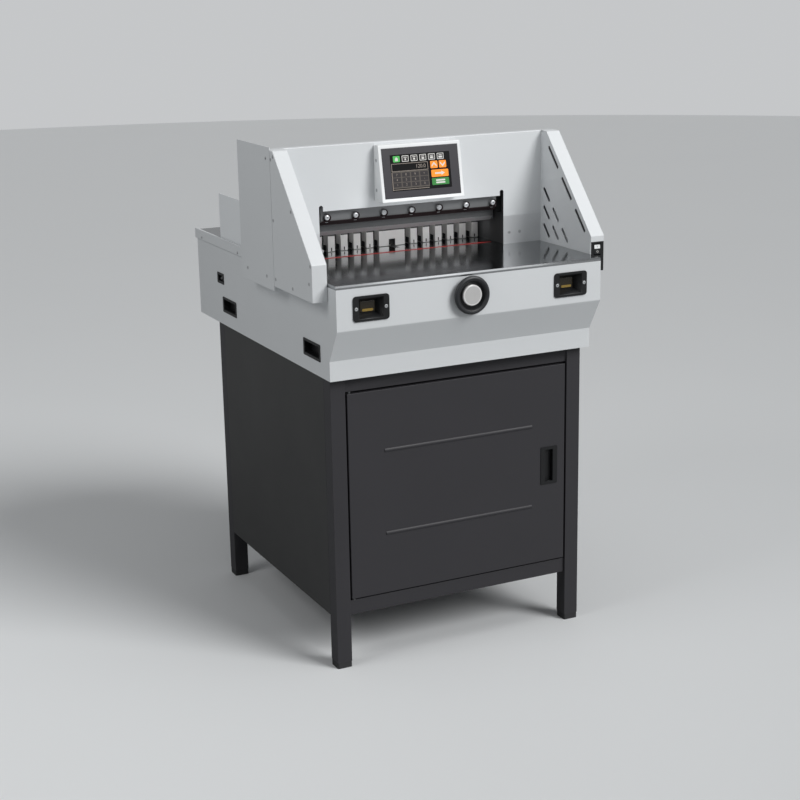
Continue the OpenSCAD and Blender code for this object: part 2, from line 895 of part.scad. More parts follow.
module door_catch() {
    color("#222224")
        block([x_door - catch_len - door_t, x_door - door_t],
              [y_stand + door_t + gap, y_stand + door_t + gap + catch_d],
              [stand_h - tube - catch_h, stand_h - tube]);
}

// Body

module bottom_pan() {
    color("#8E9396")
        block([-x_body + sheet, x_body - sheet], [y_lip + sheet, y_rear - sheet], [z_body, z_body + sheet]);
}

module front_panel() {
    bend = sheet * tan(slope_a / 2);
    profile = [
        [y_lip, z_body],
        [y_lip + sheet, z_body],
        [y_lip + sheet, z_lip + bend],
        [y_panel + sheet, z_panel + bend],
        [y_panel + sheet, z_under],
        [y_panel, z_under],
        [y_panel, z_panel],
        [y_lip, z_lip]
    ];
    color("#C8CCCF")
        difference() {
            side_plate(profile, [-x_body + sheet, x_body - sheet]);
            both_sides()
                translate([bezel_x, y_panel, z_bezel])
                    cube([mouth_w + 2 * cup_wall + gap, 4 * sheet, mouth_z + 2 * cup_wall + gap],
                         center = true);
            rod_y(cut_x, [y_panel - eps, y_panel + sheet + eps], z_screw, journal_r + shaft_clear);
        }
}

// Plain side panel of the body, on the right
module body_side() {
    profile = [
        [y_lip, z_body],
        [y_rear, z_body],
        [y_rear, z_under],
        [y_panel, z_under],
        [y_panel, z_panel],
        [y_lip, z_lip]
    ];
    difference() {
        side_plate(profile, [x_body - sheet, x_body]);
        for (y = [y_lip + handle_front, y_rear - handle_rear])
            translate([x_body, y, z_body + handle_z])
                cube([4 * sheet, handle_w - 2 * handle_rim + gap, handle_h - 2 * handle_rim + gap],
                     center = true);
    }
}

module left_body_panel() {
    color("#969B9E")
        difference() {
            mirror([1, 0, 0])
                body_side();
            translate([-x_body, y_rear - inlet_rear, z_body + inlet_z])
                cube([4 * sheet, inlet_w - 2 * inlet_rim + gap, inlet_h - 2 * inlet_rim + gap],
                     center = true);
        }
}

module right_body_panel() {
    color("#969B9E")
        body_side();
}

module rear_body_panel() {
    color("#969B9E")
        block([-x_body + sheet, x_body - sheet], [y_rear - sheet, y_rear], [z_body, z_under]);
}

module carry_handles() {
    color("#1A1A1C")
        both_sides()
            for (y = [y_lip + handle_front, y_rear - handle_rear])
                translate([x_body, y, z_body + handle_z])
                    rotate([0, 0, 90])
                        cup(handle_w, handle_h, handle_w - 2 * handle_rim - 2 * cup_wall,
                            handle_h - 2 * handle_rim - 2 * cup_wall, handle_depth);
}

module power_inlet() {
    color("#141416")
        translate([-x_body, y_rear - inlet_rear, z_body + inlet_z])
            rotate([0, 0, -90])
                cup(inlet_w, inlet_h, inlet_w - 2 * inlet_rim - 2 * cup_wall,
                    inlet_h - 2 * inlet_rim - 2 * cup_wall, inlet_depth);
}

module rear_table_strips() {
    color("#A9AEB1")
        both_sides()
            block([x_body, x_body + strip_t], [y_housing + gap, y_rear],
                  [z_table + strip_rise - strip_h, z_table + strip_rise]);
}

// Table

// The cutting stick's place, with room at its ends
module stick_seat(room) {
    block([cut_x - stick_half - room, cut_x + stick_half + room], [y_cut - stick_w / 2, y_cut + stick_w / 2],
          [z_table - stick_h, z_table + eps]);
}

module table_plate() {
    profile = [
        [y_panel + gap, z_under],
        [y_rear, z_under],
        [y_rear, z_table],
        [y_panel - gap + table_edge, z_table],
        [y_panel - gap, z_table - table_edge],
        [y_panel + gap, z_table - table_edge]
    ];
    color("#8D9092")
        difference() {
            side_plate(profile, [-x_body, x_body]);
            about_cut()
                block([column_in - gap, arm_half + gap], [y_column - gap, y_column_rear + gap],
                      [z_under - eps, z_table + eps]);
            block([cut_x - slot_w / 2, cut_x + slot_w / 2],
                  [y_cut + gauge_near + tongue_lead - tongue_d / 2 - slot_room,
                   y_carriage + gauge_back + tongue_d / 2 + slot_room],
                  [z_under - eps, z_table + eps]);
            stick_seat(0);
        }
}

module cutting_stick() {
    color("#C0182A")
        difference() {
            block([cut_x - stick_half, cut_x + stick_half], [y_cut - stick_w / 2, y_cut + stick_w / 2],
                  [z_table - stick_h, z_table]);
            block([cut_x - stick_half - eps, cut_x + stick_half + eps], [y_cut - stick_w / 4, y_cut + gap],
                  [z_table - stick_mark, z_table + eps]);
        }
}

module splash_plates() {
    color("#9A9DA0") {
        block([-x_wing, cut_x - throat_half], [y_sheet, y_behind], [z_table, z_table + splash_h]);
        block([cut_x + throat_half, x_wing], [y_sheet, y_behind], [z_table, z_table + splash_h]);
    }
}

// Inner frame

module bed_casting() {
    base_half = x_body - sheet - base_gap;
    color("#5A5E60")
        difference() {
            union() {
                block([-base_half, base_half], [y_lip + sheet + base_gap, y_bed_rear + base_gap],
                      [z_base, z_deck]);
                about_cut()
                    block([bed_half, bed_half + bed_wall], [y_bed, y_bed_rear], [z_deck, z_under]);
                for (y = [y_bed, y_bed_rear - bed_wall])
                    block([cut_x - bed_half, cut_x + bed_half], [y, y + bed_wall], [z_deck, z_under]);
            }
            block([cut_x - bed_half - bed_wall - eps, cut_x + bed_half + bed_wall + eps],
                  [y_screw - belt_room, y_screw + belt_room], [z_belt - belt_w, z_belt + belt_w]);
            rod_y(cut_x, [y_bed - eps, y_bed_rear + eps], z_screw, bearing_r);
            about_cut()
                rod_y(rod_x, [y_bed - eps, y_bed_rear + eps], z_screw, rod_r);
        }
}

module side_columns() {
    color("#60656A")
        difference() {
            about_cut()
                difference() {
                    block([column_in, column_out], [y_column, y_column_rear], [z_deck, z_column]);
                    block([column_in - eps, column_out + eps], [y_beam - arm_clear, y_blade + arm_clear],
                          [z_arm - knife_travel - arm_clear, z_arm_top + arm_clear]);
                    block([column_in - eps, column_out + eps], [y_column - eps, y_screw + belt_room],
                          [z_belt - belt_w, z_belt + belt_w]);
                }
            stick_seat(gap);
        }
}

module cross_beam() {
    color("#60656A")
        difference() {
            block([cut_x - column_in, cut_x + column_in], [y_cross, y_cross + cross_d],
                  [z_cross, z_cross_top]);
            rod_z(cut_x, y_rods, [z_cross - eps, z_cross_top + eps], clamp_screw_r + 1);
            about_cut()
                rod_z(clamp_rod_x, y_rods, [z_cross - eps, z_cross_top + eps], clamp_rod_r + run);
        }
}

// Head covers

module front_sheet() {
    color("#D3D7DA")
        difference() {
            union() {
                block([-x_wing, x_wing], [y_sheet, y_behind], [z_table + splash_h, z_top]);
                block([-x_wing, x_wing], [y_sheet, y_flange], [z_top - sheet, z_top]);
            }
            block([cut_x - throat_half, cut_x + throat_half], [y_sheet - eps, y_behind + eps],
                  [z_table, z_throat]);
            about_cut()
                translate([throat_half - notch_w / 2, y_behind + eps, z_throat + notch_rise])
                    rotate([90, 0, 0])
                        linear_extrude(sheet + 2 * eps)
                            translate([0, -notch_rise - notch_w])
                                slot_2d(2 * (notch_rise + notch_w), notch_w);
        }
}

// Folded shell of a wing on the right, open to the inside and the rear
module wing_shell(profile) {
    difference() {
        side_plate(profile, [x_wing, x_outer]);
        side_plate(inset(profile, sheet), [x_wing - eps, x_outer - sheet]);
        block([x_wing - eps, x_outer - sheet], [y_seam - 2 * sheet, y_seam + eps],
              [z_wing + sheet, z_top - 2 * sheet]);
    }
}

module left_wing_shell() {
    color("#A4A9AC")
        mirror([1, 0, 0])
            wing_shell(wing_profile);
}

module right_wing_shell() {
    color("#E2E6E8")
        difference() {
            wing_shell(wing_profile_right);
            side_plate(inset(wing_profile, sheet), [x_wing - eps, x_wing + sheet]);
        }
}

// Place on the wing's side, measured along the slant and square to it
function on_slant(along, inward) = [
    y_nose + along * sin(slant_a) + inward * cos(slant_a),
    z_nose + along * cos(slant_a) - inward * sin(slant_a)
];

// Slots of a wing plate, long ones along the slant and short ones in a triangle
module wing_slots() {
    for (i = [0 : 2])
        translate(on_slant(vent_long_start + i * vent_long_step + vent_long / 2, vent_inset))
            rotate(-slant_a)
                slot_2d(vent_long, vent_w);
    for (row = [0 : 2])
        for (col = [0 : 2 - row])
            translate([y_sheet - vent_rear - col * vent_col, z_table + vent_z + row * vent_row])
                rotate(-slant_a)
                    slot_2d(vent_short, vent_w);
}

// Slotted inner plate of a wing on the right
module wing_plate() {
    difference() {
        union() {
            side_plate(inset(wing_profile, sheet), [x_wing, x_wing + sheet]);
            block([x_wing, x_wing + sheet], [y_seam - 2 * sheet, y_behind],
                  [z_wing + sheet, z_top - 2 * sheet]);
        }
        translate([x_wing - eps, 0, 0])
            rotate([90, 0, 90])
                linear_extrude(sheet + 2 * eps)
                    wing_slots();
    }
}

module wing_plates() {
    color("#8F9598")
        both_sides()
            wing_plate();
}

module light_guard_bars() {
    middle = on_slant(vent_long_start + vent_long_step + vent_long / 2, vent_inset);
    color("#202326")
        both_sides()
            translate([x_wing + sheet, middle[0], middle[1]])
                rotate([-slant_a, 0, 0])
                    translate([0, -bar_side / 2, -bar_len / 2])
                        cube([bar_side, bar_side, bar_len]);
}

module drive_housing() {
    color("#A2A7AA")
        mirror([1, 0, 0]) {
            block([x_outer - sheet, x_outer], [y_seam, y_housing],
                  [z_table - housing_drop, z_top + cheek_rise]);
            rear_cover();
        }
}

// Outline of the falling cover from the flange to the rear, as a strip of sheet
function cover_strip(y_from) = [
    [y_from, cover_z(y_from) - sheet / cos(cover_a)],
    [y_housing, cover_z(y_housing) - sheet / cos(cover_a)],
    [y_housing, z_cover_rear],
    [y_from, cover_z(y_from)]
];

module right_rear_cover() {
    color("#A2A7AA") {
        side_plate([
            [y_seam, z_table - housing_drop],
            [y_housing, z_table - housing_drop],
            [y_housing, z_cover_rear],
            [y_flange, z_top],
            [y_seam, z_top]
        ], [x_outer - sheet, x_outer]);
        rear_cover();
    }
}

// Roof, rear, floor and front lip of a rear cover on the right, without its side
module rear_cover() {
    z_floor = z_table - housing_drop;
    side_plate(cover_strip(y_flange), [x_housing, x_outer]);
    block([x_wing, x_outer], [y_seam, y_flange], [z_top - sheet, z_top]);
    block([x_housing, x_outer], [y_housing - sheet, y_housing], [z_table, z_cover_rear - sheet]);
    block([x_body + gap, x_outer], [y_housing - sheet, y_housing], [z_floor, z_table]);
    block([x_body + gap, x_outer], [y_seam, y_housing], [z_floor, z_floor + sheet]);
    block([x_body + gap, x_outer], [y_seam, y_seam + sheet], [z_floor, z_wing]);
}

module head_cover() {
    color("#B4B9BC") {
        side_plate(cover_strip(y_flange), [-x_housing, x_housing]);
        block([-x_housing, x_housing], [y_housing - sheet, y_housing], [z_mouth, z_cover_rear - sheet]);
    }
}

module rear_side_guides() {
    color("#C2C6C9")
        both_sides() {
            block([guide_x, guide_x + sheet], [y_housing + gap, y_rear - guide_rear],
                  [z_table, z_table + guide_h]);
            block([guide_x - guide_foot, guide_x + sheet], [y_housing + gap, y_rear - guide_rear],
                  [z_table, z_table + sheet]);
        }
}

// Controls

rocker_y = y_nose + rocker_t / 2;
rocker_z = z_switch - rocker_down;
rocker_x = x_wing + wing_t / 2;

module switch_box() {
    pivot_half = rocker_w / 2 + pivot_reach + gap;
    color("#18181B")
        difference() {
            block([x_wing + sheet, x_outer], [y_nose, y_nose + switch_d], [z_wing, z_switch]);
            block([rocker_x - rocker_w / 2 - gap, rocker_x + rocker_w / 2 + gap],
                  [y_nose - eps, y_nose + rocker_t + rocker_room],
                  [rocker_z - rocker_h / 2 - rocker_room, rocker_z + rocker_h / 2 + rocker_room]);
            rod_x([rocker_x - pivot_half, rocker_x + pivot_half], rocker_y, rocker_z, rocker_pin / 2 + run);
        }
}

module main_switch() {
    color("#2A2A2D")
        translate([rocker_x, rocker_y, rocker_z])
            rotate([-rocker_tilt, 0, 0]) {
                cube([rocker_w, rocker_t, rocker_h], center = true);
                rod_x([-rocker_w / 2 - pivot_reach, rocker_w / 2 + pivot_reach], 0, 0, rocker_pin / 2);
            }
}

// Lower front edge of the control box's tilted face
control_y = y_sheet - control_foot;
control_bottom = z_top - control_down - control_h;
face_len = control_h / cos(control_a);
glass_w = control_w - 2 * control_rim;
glass_h = face_len - 2 * control_rim;

// Children in the frame of the control box's tilted face: X across, Z up the face, -Y outwards
module on_face() {
    translate([control_x, control_y, control_bottom])
        rotate([-control_a, 0, 0])
            children();
}

module control_box() {
    profile = [
        [control_y, control_bottom],
        [y_sheet, control_bottom],
        [y_sheet, control_bottom + control_h],
        [y_sheet - control_top, control_bottom + control_h]
    ];
    half = control_w / 2;
    color("#F0F1F2")
        difference() {
            side_plate(profile, [control_x - half, control_x + half]);
            intersection() {
                side_plate(inset(profile, control_wall),
                           [control_x - half + control_wall, control_x + half - control_wall]);
                on_face()
                    block([-half, half], [glass_t, control_foot], [0, face_len]);
            }
            on_face()
                block([-glass_w / 2, glass_w / 2], [-eps, glass_t + eps],
                      [control_rim, control_rim + glass_h]);
        }
}

module touch_panel() {
    color("#45444A")
        on_face()
            block([-glass_w / 2, glass_w / 2], [-gap, glass_t], [control_rim, control_rim + glass_h]);
}

// One bezel with its funnel-shaped recess, at the right
module button_bezel() {
    translate([bezel_x, y_panel, z_bezel])
        rotate([90, 0, 0])
            difference() {
                union() {
                    linear_extrude(bezel_t)
                        round_rect(bezel_w, bezel_h, bezel_round);
                    translate([0, 0, -bezel_depth])
                        linear_extrude(bezel_depth)
                            square([mouth_w + 2 * cup_wall, mouth_z + 2 * cup_wall], center = true);
                }
                hull() {
                    translate([0, 0, bezel_t + eps])
                        cube([mouth_w, mouth_z, eps], center = true);
                    translate([0, 0, -button_face])
                        cube([button_w + 4 * gap, button_h + 4 * gap, eps], center = true);
                }
                translate([0, 0, cup_wall - bezel_depth])
                    linear_extrude(bezel_depth)
                        square([button_w + 2 * gap, button_h + 2 * gap], center = true);
                translate([0, 0, -bezel_depth - eps])
                    cylinder(h = bezel_depth, r = button_stem / 2 + run);
            }
}

module button_bezels() {
    color("#1B1B1E")
        both_sides()
            button_bezel();
}

// One cut button with its guide stem, at the right
module cut_button() {
    face = y_panel + button_face;
    translate([bezel_x, 0, z_bezel])
        block([-button_w / 2, button_w / 2], [face, face + button_t], [-button_h / 2, button_h / 2]);
    rod_y(bezel_x, [face + button_t - eps, y_panel + bezel_depth], z_bezel, button_stem / 2);
}

module left_cut_button() {
    color("#C89A3A")
        mirror([1, 0, 0])
            cut_button();
}

module right_cut_button() {
    color("#C89A3A")
        cut_button();
}

// Knife

module knife_beam() {
    color("#6E7275")
        translate([cut_x, 0, 0])
            difference() {
                union() {
                    block([-beam_half, beam_half], [y_beam, y_blade], [z_beam, z_beam_top]);
                    block([-beam_half, beam_half], [y_beam + strip_step_d, y_blade],
                          [z_beam - strip_step_h, z_beam + eps]);
                    block([-arm_half, arm_half], [y_beam, y_blade], [z_arm, z_arm_top]);
                    for (s = [-1, 1])
                        rod_z(s * screw_x, y_screw, [z_arm, z_arm_top], nut_r);
                }
                for (s = [-1, 1])
                    rod_z(s * screw_x, y_screw, [z_arm - eps, z_arm_top + eps], screw_r + run);
                for (i = [-bolt_n : bolt_n]) {
                    rod_y(i * bolt_step, [y_beam - eps, y_blade + eps], z_bolt, bolt_r);
                    block([i * bolt_step - bolt_head_r, i * bolt_step + bolt_head_r],
                          [y_beam - eps, y_beam + strip_step_d], [z_beam - eps, z_bolt - bolt_head_r]);
                }
            }
}

module knife_blade() {
    profile = [
        [y_cut, z_edge],
        [y_cut, z_edge + blade_h],
        [y_blade, z_edge + blade_h],
        [y_blade, z_edge + bevel_h]
    ];
    color("#4E5254")
        difference() {
            side_plate(profile, [cut_x - beam_half, cut_x + beam_half]);
            for (i = [-bolt_n : bolt_n])
                rod_y(cut_x + i * bolt_step, [y_blade - eps, y_cut + eps], z_bolt, bolt_r);
        }
}

module blade_bolts() {
    color("#D9DBDC")
        for (i = [-bolt_n : bolt_n]) {
            rod_y(cut_x + i * bolt_step, [y_beam - bolt_head_h, y_beam], z_bolt, bolt_head_r);
            rod_y(cut_x + i * bolt_step, [y_beam - eps, y_cut - gap], z_bolt, bolt_r);
        }
}

// One knife screw with the pulley at its foot, on the given side of the cutting line
module knife_screw(side) {
    color("#B9BCBE") {
        rod_z(cut_x + side * screw_x, y_screw, [z_deck + gap, z_column], screw_r);
        rod_z(cut_x + side * screw_x, y_screw, [z_belt - belt_w / 2, z_belt + belt_w / 2], pulley_r);
    }
}

module left_knife_screw() {
    knife_screw(-1);
}

module right_knife_screw() {
    knife_screw(1);
}

// Block around the right knife screw, measured from the cutting centre line
module screw_block(x, z) {
    difference() {
        block(x, [y_screw - nut_r, y_screw + nut_r], z);
        rod_z(screw_x, y_screw, [z[0] - eps, z[1] + eps], screw_r + run);
    }
}

module screw_bearings() {
    color("#4A4D50") {
        translate([cut_x, 0, 0])
            mirror([1, 0, 0])
                screw_block([screw_x - nut_r, screw_x + nut_r], [z_deck, z_deck + bearing_h]);
        about_cut()
            screw_block([column_out, screw_x + nut_r], [z_column - bearing_top_h, z_column]);
        for (y = [y_bed, y_bed_rear - bed_wall])
            difference() {
                rod_y(cut_x, [y, y + bed_wall], z_screw, bearing_r);
                rod_y(cut_x, [y - eps, y + bed_wall + eps], z_screw, journal_r + run);
            }
    }
}

module knife_belt() {
    inner = pulley_r + belt_gap;
    color("#1E1E20")
        translate([cut_x, y_screw, z_belt - belt_w / 2 + gap])
            linear_extrude(belt_w - 2 * gap)
                rotate(90)
                    difference() {
                        slot_2d(2 * (screw_x + inner + belt_t), 2 * (inner + belt_t));
                        slot_2d(2 * (screw_x + inner), 2 * inner);
                    }
}

module knife_gear_motor() {
    x = cut_x + screw_x;
    x_in = x - screw_out + gap;
    x_out = x + screw_out - gap;
    y_front = y_screw - gear_half;
    y_flange_front = y_front - motor_flange;
    z_motor = z_deck + motor_foot + motor_r;
    z_gear = z_motor + motor_r;
    color("#3F6E74")
        difference() {
            union() {
                block([x_in, x_out], [y_front, y_screw + gear_half], [z_deck, z_gear]);
                block([x - motor_offset - motor_r, x_out], [y_flange_front, y_front], [z_deck, z_gear]);
                rod_y(x - motor_offset, [y_flange_front - motor_len, y_front], z_motor, motor_r);
            }
            rod_z(x, y_screw, [z_deck - eps, z_gear + eps], screw_r + run);
        }
}

// Clamp

module clamp_beam() {
    room_w = finger_w + 2 * comb_gap;
    hub_w = 2 * (hub_half + comb_gap);
    color("#55595C")
        translate([cut_x, 0, 0])
            difference() {
                block([-clamp_half, clamp_half], [y_clamp, y_clamp_rear], [z_clamp, z_clamp_top]);
                for (x = finger_x)
                    block([x - room_w / 2, x + room_w / 2], [y_clamp + clamp_bar, y_clamp_rear + eps],
                          [z_clamp - eps, z_clamp_top + eps]);
                block([-hub_w / 2, hub_w / 2], [y_clamp + clamp_bar, y_clamp_rear + eps],
                      [z_clamp - eps, z_clamp_top + eps]);
            }
}

module clamp_rods() {
    color("#C4C7C9")
        about_cut()
            rod_z(clamp_rod_x, y_rods, [z_clamp_top, z_cross_top + clamp_travel + clamp_rod_spare],
                  clamp_rod_r);
}

module clamp_screw() {
    color("#B9BCBE")
        rod_z(cut_x, y_rods, [z_clamp_top, z_clamp_screw], clamp_screw_r);
}

module clamp_drive_nut() {
    color("#B08D57")
        difference() {
            rod_z(cut_x, y_rods, [z_nut, z_nut_top], drive_nut_r);
            rod_z(cut_x, y_rods, [z_nut - eps, z_nut_top + eps], clamp_screw_r + run);
        }
}

module clamp_motor() {
    barrel_r = cross_d / 2 - clamp_motor_rim;
    color("#3F6E74")
        difference() {
            union() {
                block([cut_x - drive_nut_r - nut_wall, cut_x + clamp_box_len],
                      [y_cross, y_cross + cross_d], [z_cross_top, z_nut_top]);
                rod_z(cut_x + clamp_motor_x, y_cross + cross_d / 2,
                      [z_nut_top - eps, z_nut_top + clamp_motor_h], barrel_r);
            }
            rod_z(cut_x, y_rods, [z_cross_top - eps, z_nut_top + eps], drive_nut_r + run);
        }
}

// Back gauge

module back_gauge() {
    color("#D8DADB")
        translate([cut_x, 0, 0])
            difference() {
                union() {
                    block([-gauge_half, gauge_half], [y_gauge + finger_d, y_gauge + finger_d + plate_t],
                          [z_finger, z_finger_top]);
                    block([-hub_half, hub_half], [y_gauge, y_hub_rear], [z_finger, z_finger_top]);
                    for (x = finger_x)
                        block([x - finger_w / 2, x + finger_w / 2], [y_gauge, y_gauge + finger_d + eps],
                              [z_finger, z_finger_top]);
                }
                for (x = finger_x)
                    translate([x - sign(x) * finger_step / 2, 0, 0])
                        block([-foot_notch_w / 2, foot_notch_w / 2],
                              [y_gauge + finger_d - eps, y_gauge + finger_d + plate_t + eps],
                              [z_finger - eps, z_finger + foot_notch_h]);
                block([-drive_notch / 2, drive_notch / 2], [y_gauge - eps, y_gauge + finger_d / 2],
                      [z_finger - eps, z_finger + drive_notch]);
            }
}

module gauge_carriage() {
    y = [y_carriage - carriage_d / 2, y_carriage + carriage_d / 2];
    z = [z_screw - carriage_h / 2, z_screw + carriage_h / 2];
    color("#7B8084")
        translate([cut_x, 0, 0])
            difference() {
                union() {
                    block([-carriage_w / 2, carriage_w / 2], y, z);
                    block([-tongue_w / 2, tongue_w / 2],
                          [y_carriage - tongue_d / 2, y_carriage + tongue_d / 2], [z[1] - eps, z_finger]);
                }
                rod_y(0, [y[0] - eps, y[1] + eps], z_screw, lead_r + run);
                for (s = [-1, 1])
                    rod_y(s * rod_x, [y[0] - eps, y[1] + eps], z_screw, rod_r + run);
            }
}

module lead_screw() {
    color("#B9BCBE") {
        rod_y(cut_x, [y_bed + bed_wall + gap, y_bed_rear - bed_wall - gap], z_screw, lead_r);
        rod_y(cut_x, [y_panel - wheel_reach / 2, y_bed_rear + gauge_motor_len - motor_cover - 2 * gap],
              z_screw, journal_r);
    }
}

module gauge_rods() {
    color("#C4C7C9")
        about_cut()
            rod_y(rod_x, [y_bed, y_bed_rear], z_screw, rod_r);
}

module gauge_motor() {
    half = gauge_motor_w / 2;
    color("#26282B")
        difference() {
            block([cut_x - half, cut_x + half], [y_bed_rear, y_bed_rear + gauge_motor_len],
                  [z_screw - half, z_screw + half]);
            rod_y(cut_x, [y_bed_rear - eps, y_bed_rear + gauge_motor_len - motor_cover], z_screw,
                  journal_r + run);
        }
}

// Outline of the dished handwheel from its bore outwards, height above the front panel
module wheel_profile() {
    rim_mid = (wheel_rim + wheel_r) / 2;
    rim_round = (wheel_r - wheel_rim) / 2;
    polygon([
        [journal_r, wheel_back],
        [wheel_r - wheel_edge, wheel_back],
        [wheel_r, wheel_reach - rim_round],
        [wheel_rim, wheel_reach - rim_round],
        [wheel_rim - wheel_dish, wheel_reach / 2 - wheel_dish],
        [cap_r, wheel_reach / 2 - wheel_dish],
        [cap_r, wheel_reach / 2],
        [journal_r, wheel_reach / 2]
    ]);
    translate([rim_mid, wheel_reach - rim_round])
        circle(rim_round);
}

module handwheel() {
    color("#1B1C20")
        translate([cut_x, y_panel, z_screw])
            rotate([90, 0, 0])
                rotate_extrude()
                    wheel_profile();
}

module handwheel_cap() {
    color("#C9C6C5")
        translate([cut_x, y_panel, z_screw])
            rotate([90, 0, 0])
                rotate_extrude()
                    polygon([
                        [0, wheel_reach / 2],
                        [cap_r, wheel_reach / 2],
                        [cap_r, wheel_reach / 2 + cap_t - cap_edge],
                        [cap_r - cap_edge, wheel_reach / 2 + cap_t],
                        [0, wheel_reach / 2 + cap_t]
                    ]);
}

stand_frame();
stand_side_panels();
stand_back_panel();
stand_floor();
foot_caps();
cabinet_door();
door_pull();
door_hinge_pins();
door_catch();
bottom_pan();
front_panel();
left_body_panel();
right_body_panel();
rear_body_panel();
carry_handles();
power_inlet();
rear_table_strips();
table_plate();
cutting_stick();
splash_plates();
bed_casting();
side_columns();
cross_beam();
front_sheet();
left_wing_shell();
right_wing_shell();
wing_plates();
light_guard_bars();
drive_housing();
right_rear_cover();
head_cover();
rear_side_guides();
switch_box();
main_switch();
control_box();
touch_panel();
button_bezels();
left_cut_button();
right_cut_button();
knife_beam();
knife_blade();
blade_bolts();
left_knife_screw();
right_knife_screw();
screw_bearings();
knife_belt();
knife_gear_motor();
clamp_beam();
clamp_rods();
clamp_screw();
clamp_drive_nut();
clamp_motor();
back_gauge();
gauge_carriage();
lead_screw();
gauge_rods();
gauge_motor();
handwheel();
handwheel_cap();
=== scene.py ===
import json
import math

import bmesh
import bpy
from bpy.props import FloatProperty, FloatVectorProperty, IntProperty, PointerProperty
from bpy.types import Operator, Panel, PropertyGroup
from mathutils import Matrix, Vector

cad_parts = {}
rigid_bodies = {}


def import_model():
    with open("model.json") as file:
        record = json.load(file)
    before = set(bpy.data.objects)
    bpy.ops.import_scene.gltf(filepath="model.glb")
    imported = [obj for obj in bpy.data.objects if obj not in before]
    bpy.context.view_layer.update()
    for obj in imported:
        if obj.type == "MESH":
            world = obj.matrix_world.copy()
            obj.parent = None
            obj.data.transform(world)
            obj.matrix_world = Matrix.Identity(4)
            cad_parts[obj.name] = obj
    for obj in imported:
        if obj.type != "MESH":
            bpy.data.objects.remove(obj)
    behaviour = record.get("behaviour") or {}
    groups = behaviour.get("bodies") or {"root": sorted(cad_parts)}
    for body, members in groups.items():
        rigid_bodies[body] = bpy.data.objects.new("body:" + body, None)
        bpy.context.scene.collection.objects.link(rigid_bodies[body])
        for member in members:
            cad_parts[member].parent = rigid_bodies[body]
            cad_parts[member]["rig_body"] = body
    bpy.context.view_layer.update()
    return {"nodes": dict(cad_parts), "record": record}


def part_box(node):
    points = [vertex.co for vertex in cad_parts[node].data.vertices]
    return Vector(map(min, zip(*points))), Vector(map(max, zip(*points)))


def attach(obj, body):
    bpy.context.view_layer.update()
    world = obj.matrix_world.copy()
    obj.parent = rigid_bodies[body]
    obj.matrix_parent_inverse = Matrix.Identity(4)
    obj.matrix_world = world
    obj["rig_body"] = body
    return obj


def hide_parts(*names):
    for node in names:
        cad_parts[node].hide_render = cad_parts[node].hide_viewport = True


bl_info = {
    "name": "Electric paper cutter",
    "version": (1, 0, 0),
    "blender": (4, 5, 0),
    "location": "View3D > Sidebar > Cutter",
    "description": "Finishes, small hardware and studio for the packed paper cutter",
    "category": "Object",
}

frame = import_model()
NODES = frame["nodes"]
NODE_SLOT = {part["node"]: part["material_slot"] for part in frame["record"]["subparts"]}

MM = 0.001
# Points closer than this are one point
MERGE = 1e-6
# Faces that turn less than this are one face
FLAT = math.radians(0.5)
# Edges that turn more than this are folds
FOLD_ANGLE = math.radians(28)
# Edges of small hardware that turn more than this stay sharp
SMOOTH_ANGLE = math.radians(32)
# Faces narrower than this are cut edges of a sheet, which stay sharp
SHEET_LIMIT = 3.2 * MM
# Share of a narrow face that a rounded fold may take
FOLD_SHARE = 0.3
FOLD_STEPS = 3
# Rise of a painted patch over the face under it
FILM = 0.3 * MM
# Limits of a normal's Y for a face that leans or looks forward
LEANS_FORWARD = -0.5
LOOKS_FORWARD = -0.9
# Length of one wave of Blender's wave texture at scale 1
WAVE = 0.314
# Height of a pattern's bumps, as a share of its spacing
BUMP_SHARE = 0.1
FULL_TURN = 6.28
SPIN_SEED = 7
FRONT = Vector((0, -1, 0))
REAR = Vector((0, 1, 0))
LEFT = Vector((-1, 0, 0))
RIGHT = Vector((1, 0, 0))
# The way out of a tilted face, in the face's own frame
OUT = Vector((0, 0, 1))


def linear(code):
    """An sRGB hex colour as linear red, green, blue and alpha."""
    parts = [int(code[i:i + 2], 16) / 255 for i in (0, 2, 4)]
    return tuple(c / 12.92 if c <= 0.04045 else ((c + 0.055) / 1.055) ** 2.4 for c in parts) + (1.0,)


def colour(label, about, code):
    """A colour setting with its sRGB default."""
    return FloatVectorProperty(name=label, description=about, subtype="COLOR", size=4, min=0.0, max=1.0,
                               default=linear(code))


def length(label, about, default, low, high):
    """A length setting in metres."""
    return FloatProperty(name=label, description=about, default=default, min=low, max=high,
                         unit="LENGTH", subtype="DISTANCE", precision=5)


def angle(label, about, degrees):
    """An angle setting, given in degrees."""
    return FloatProperty(name=label, description=about, default=math.radians(degrees), subtype="ANGLE")


def strength(label, about, default):
    """A light's strength or power setting."""
    return FloatProperty(name=label, description=about, default=default, min=0.0)


# Settings

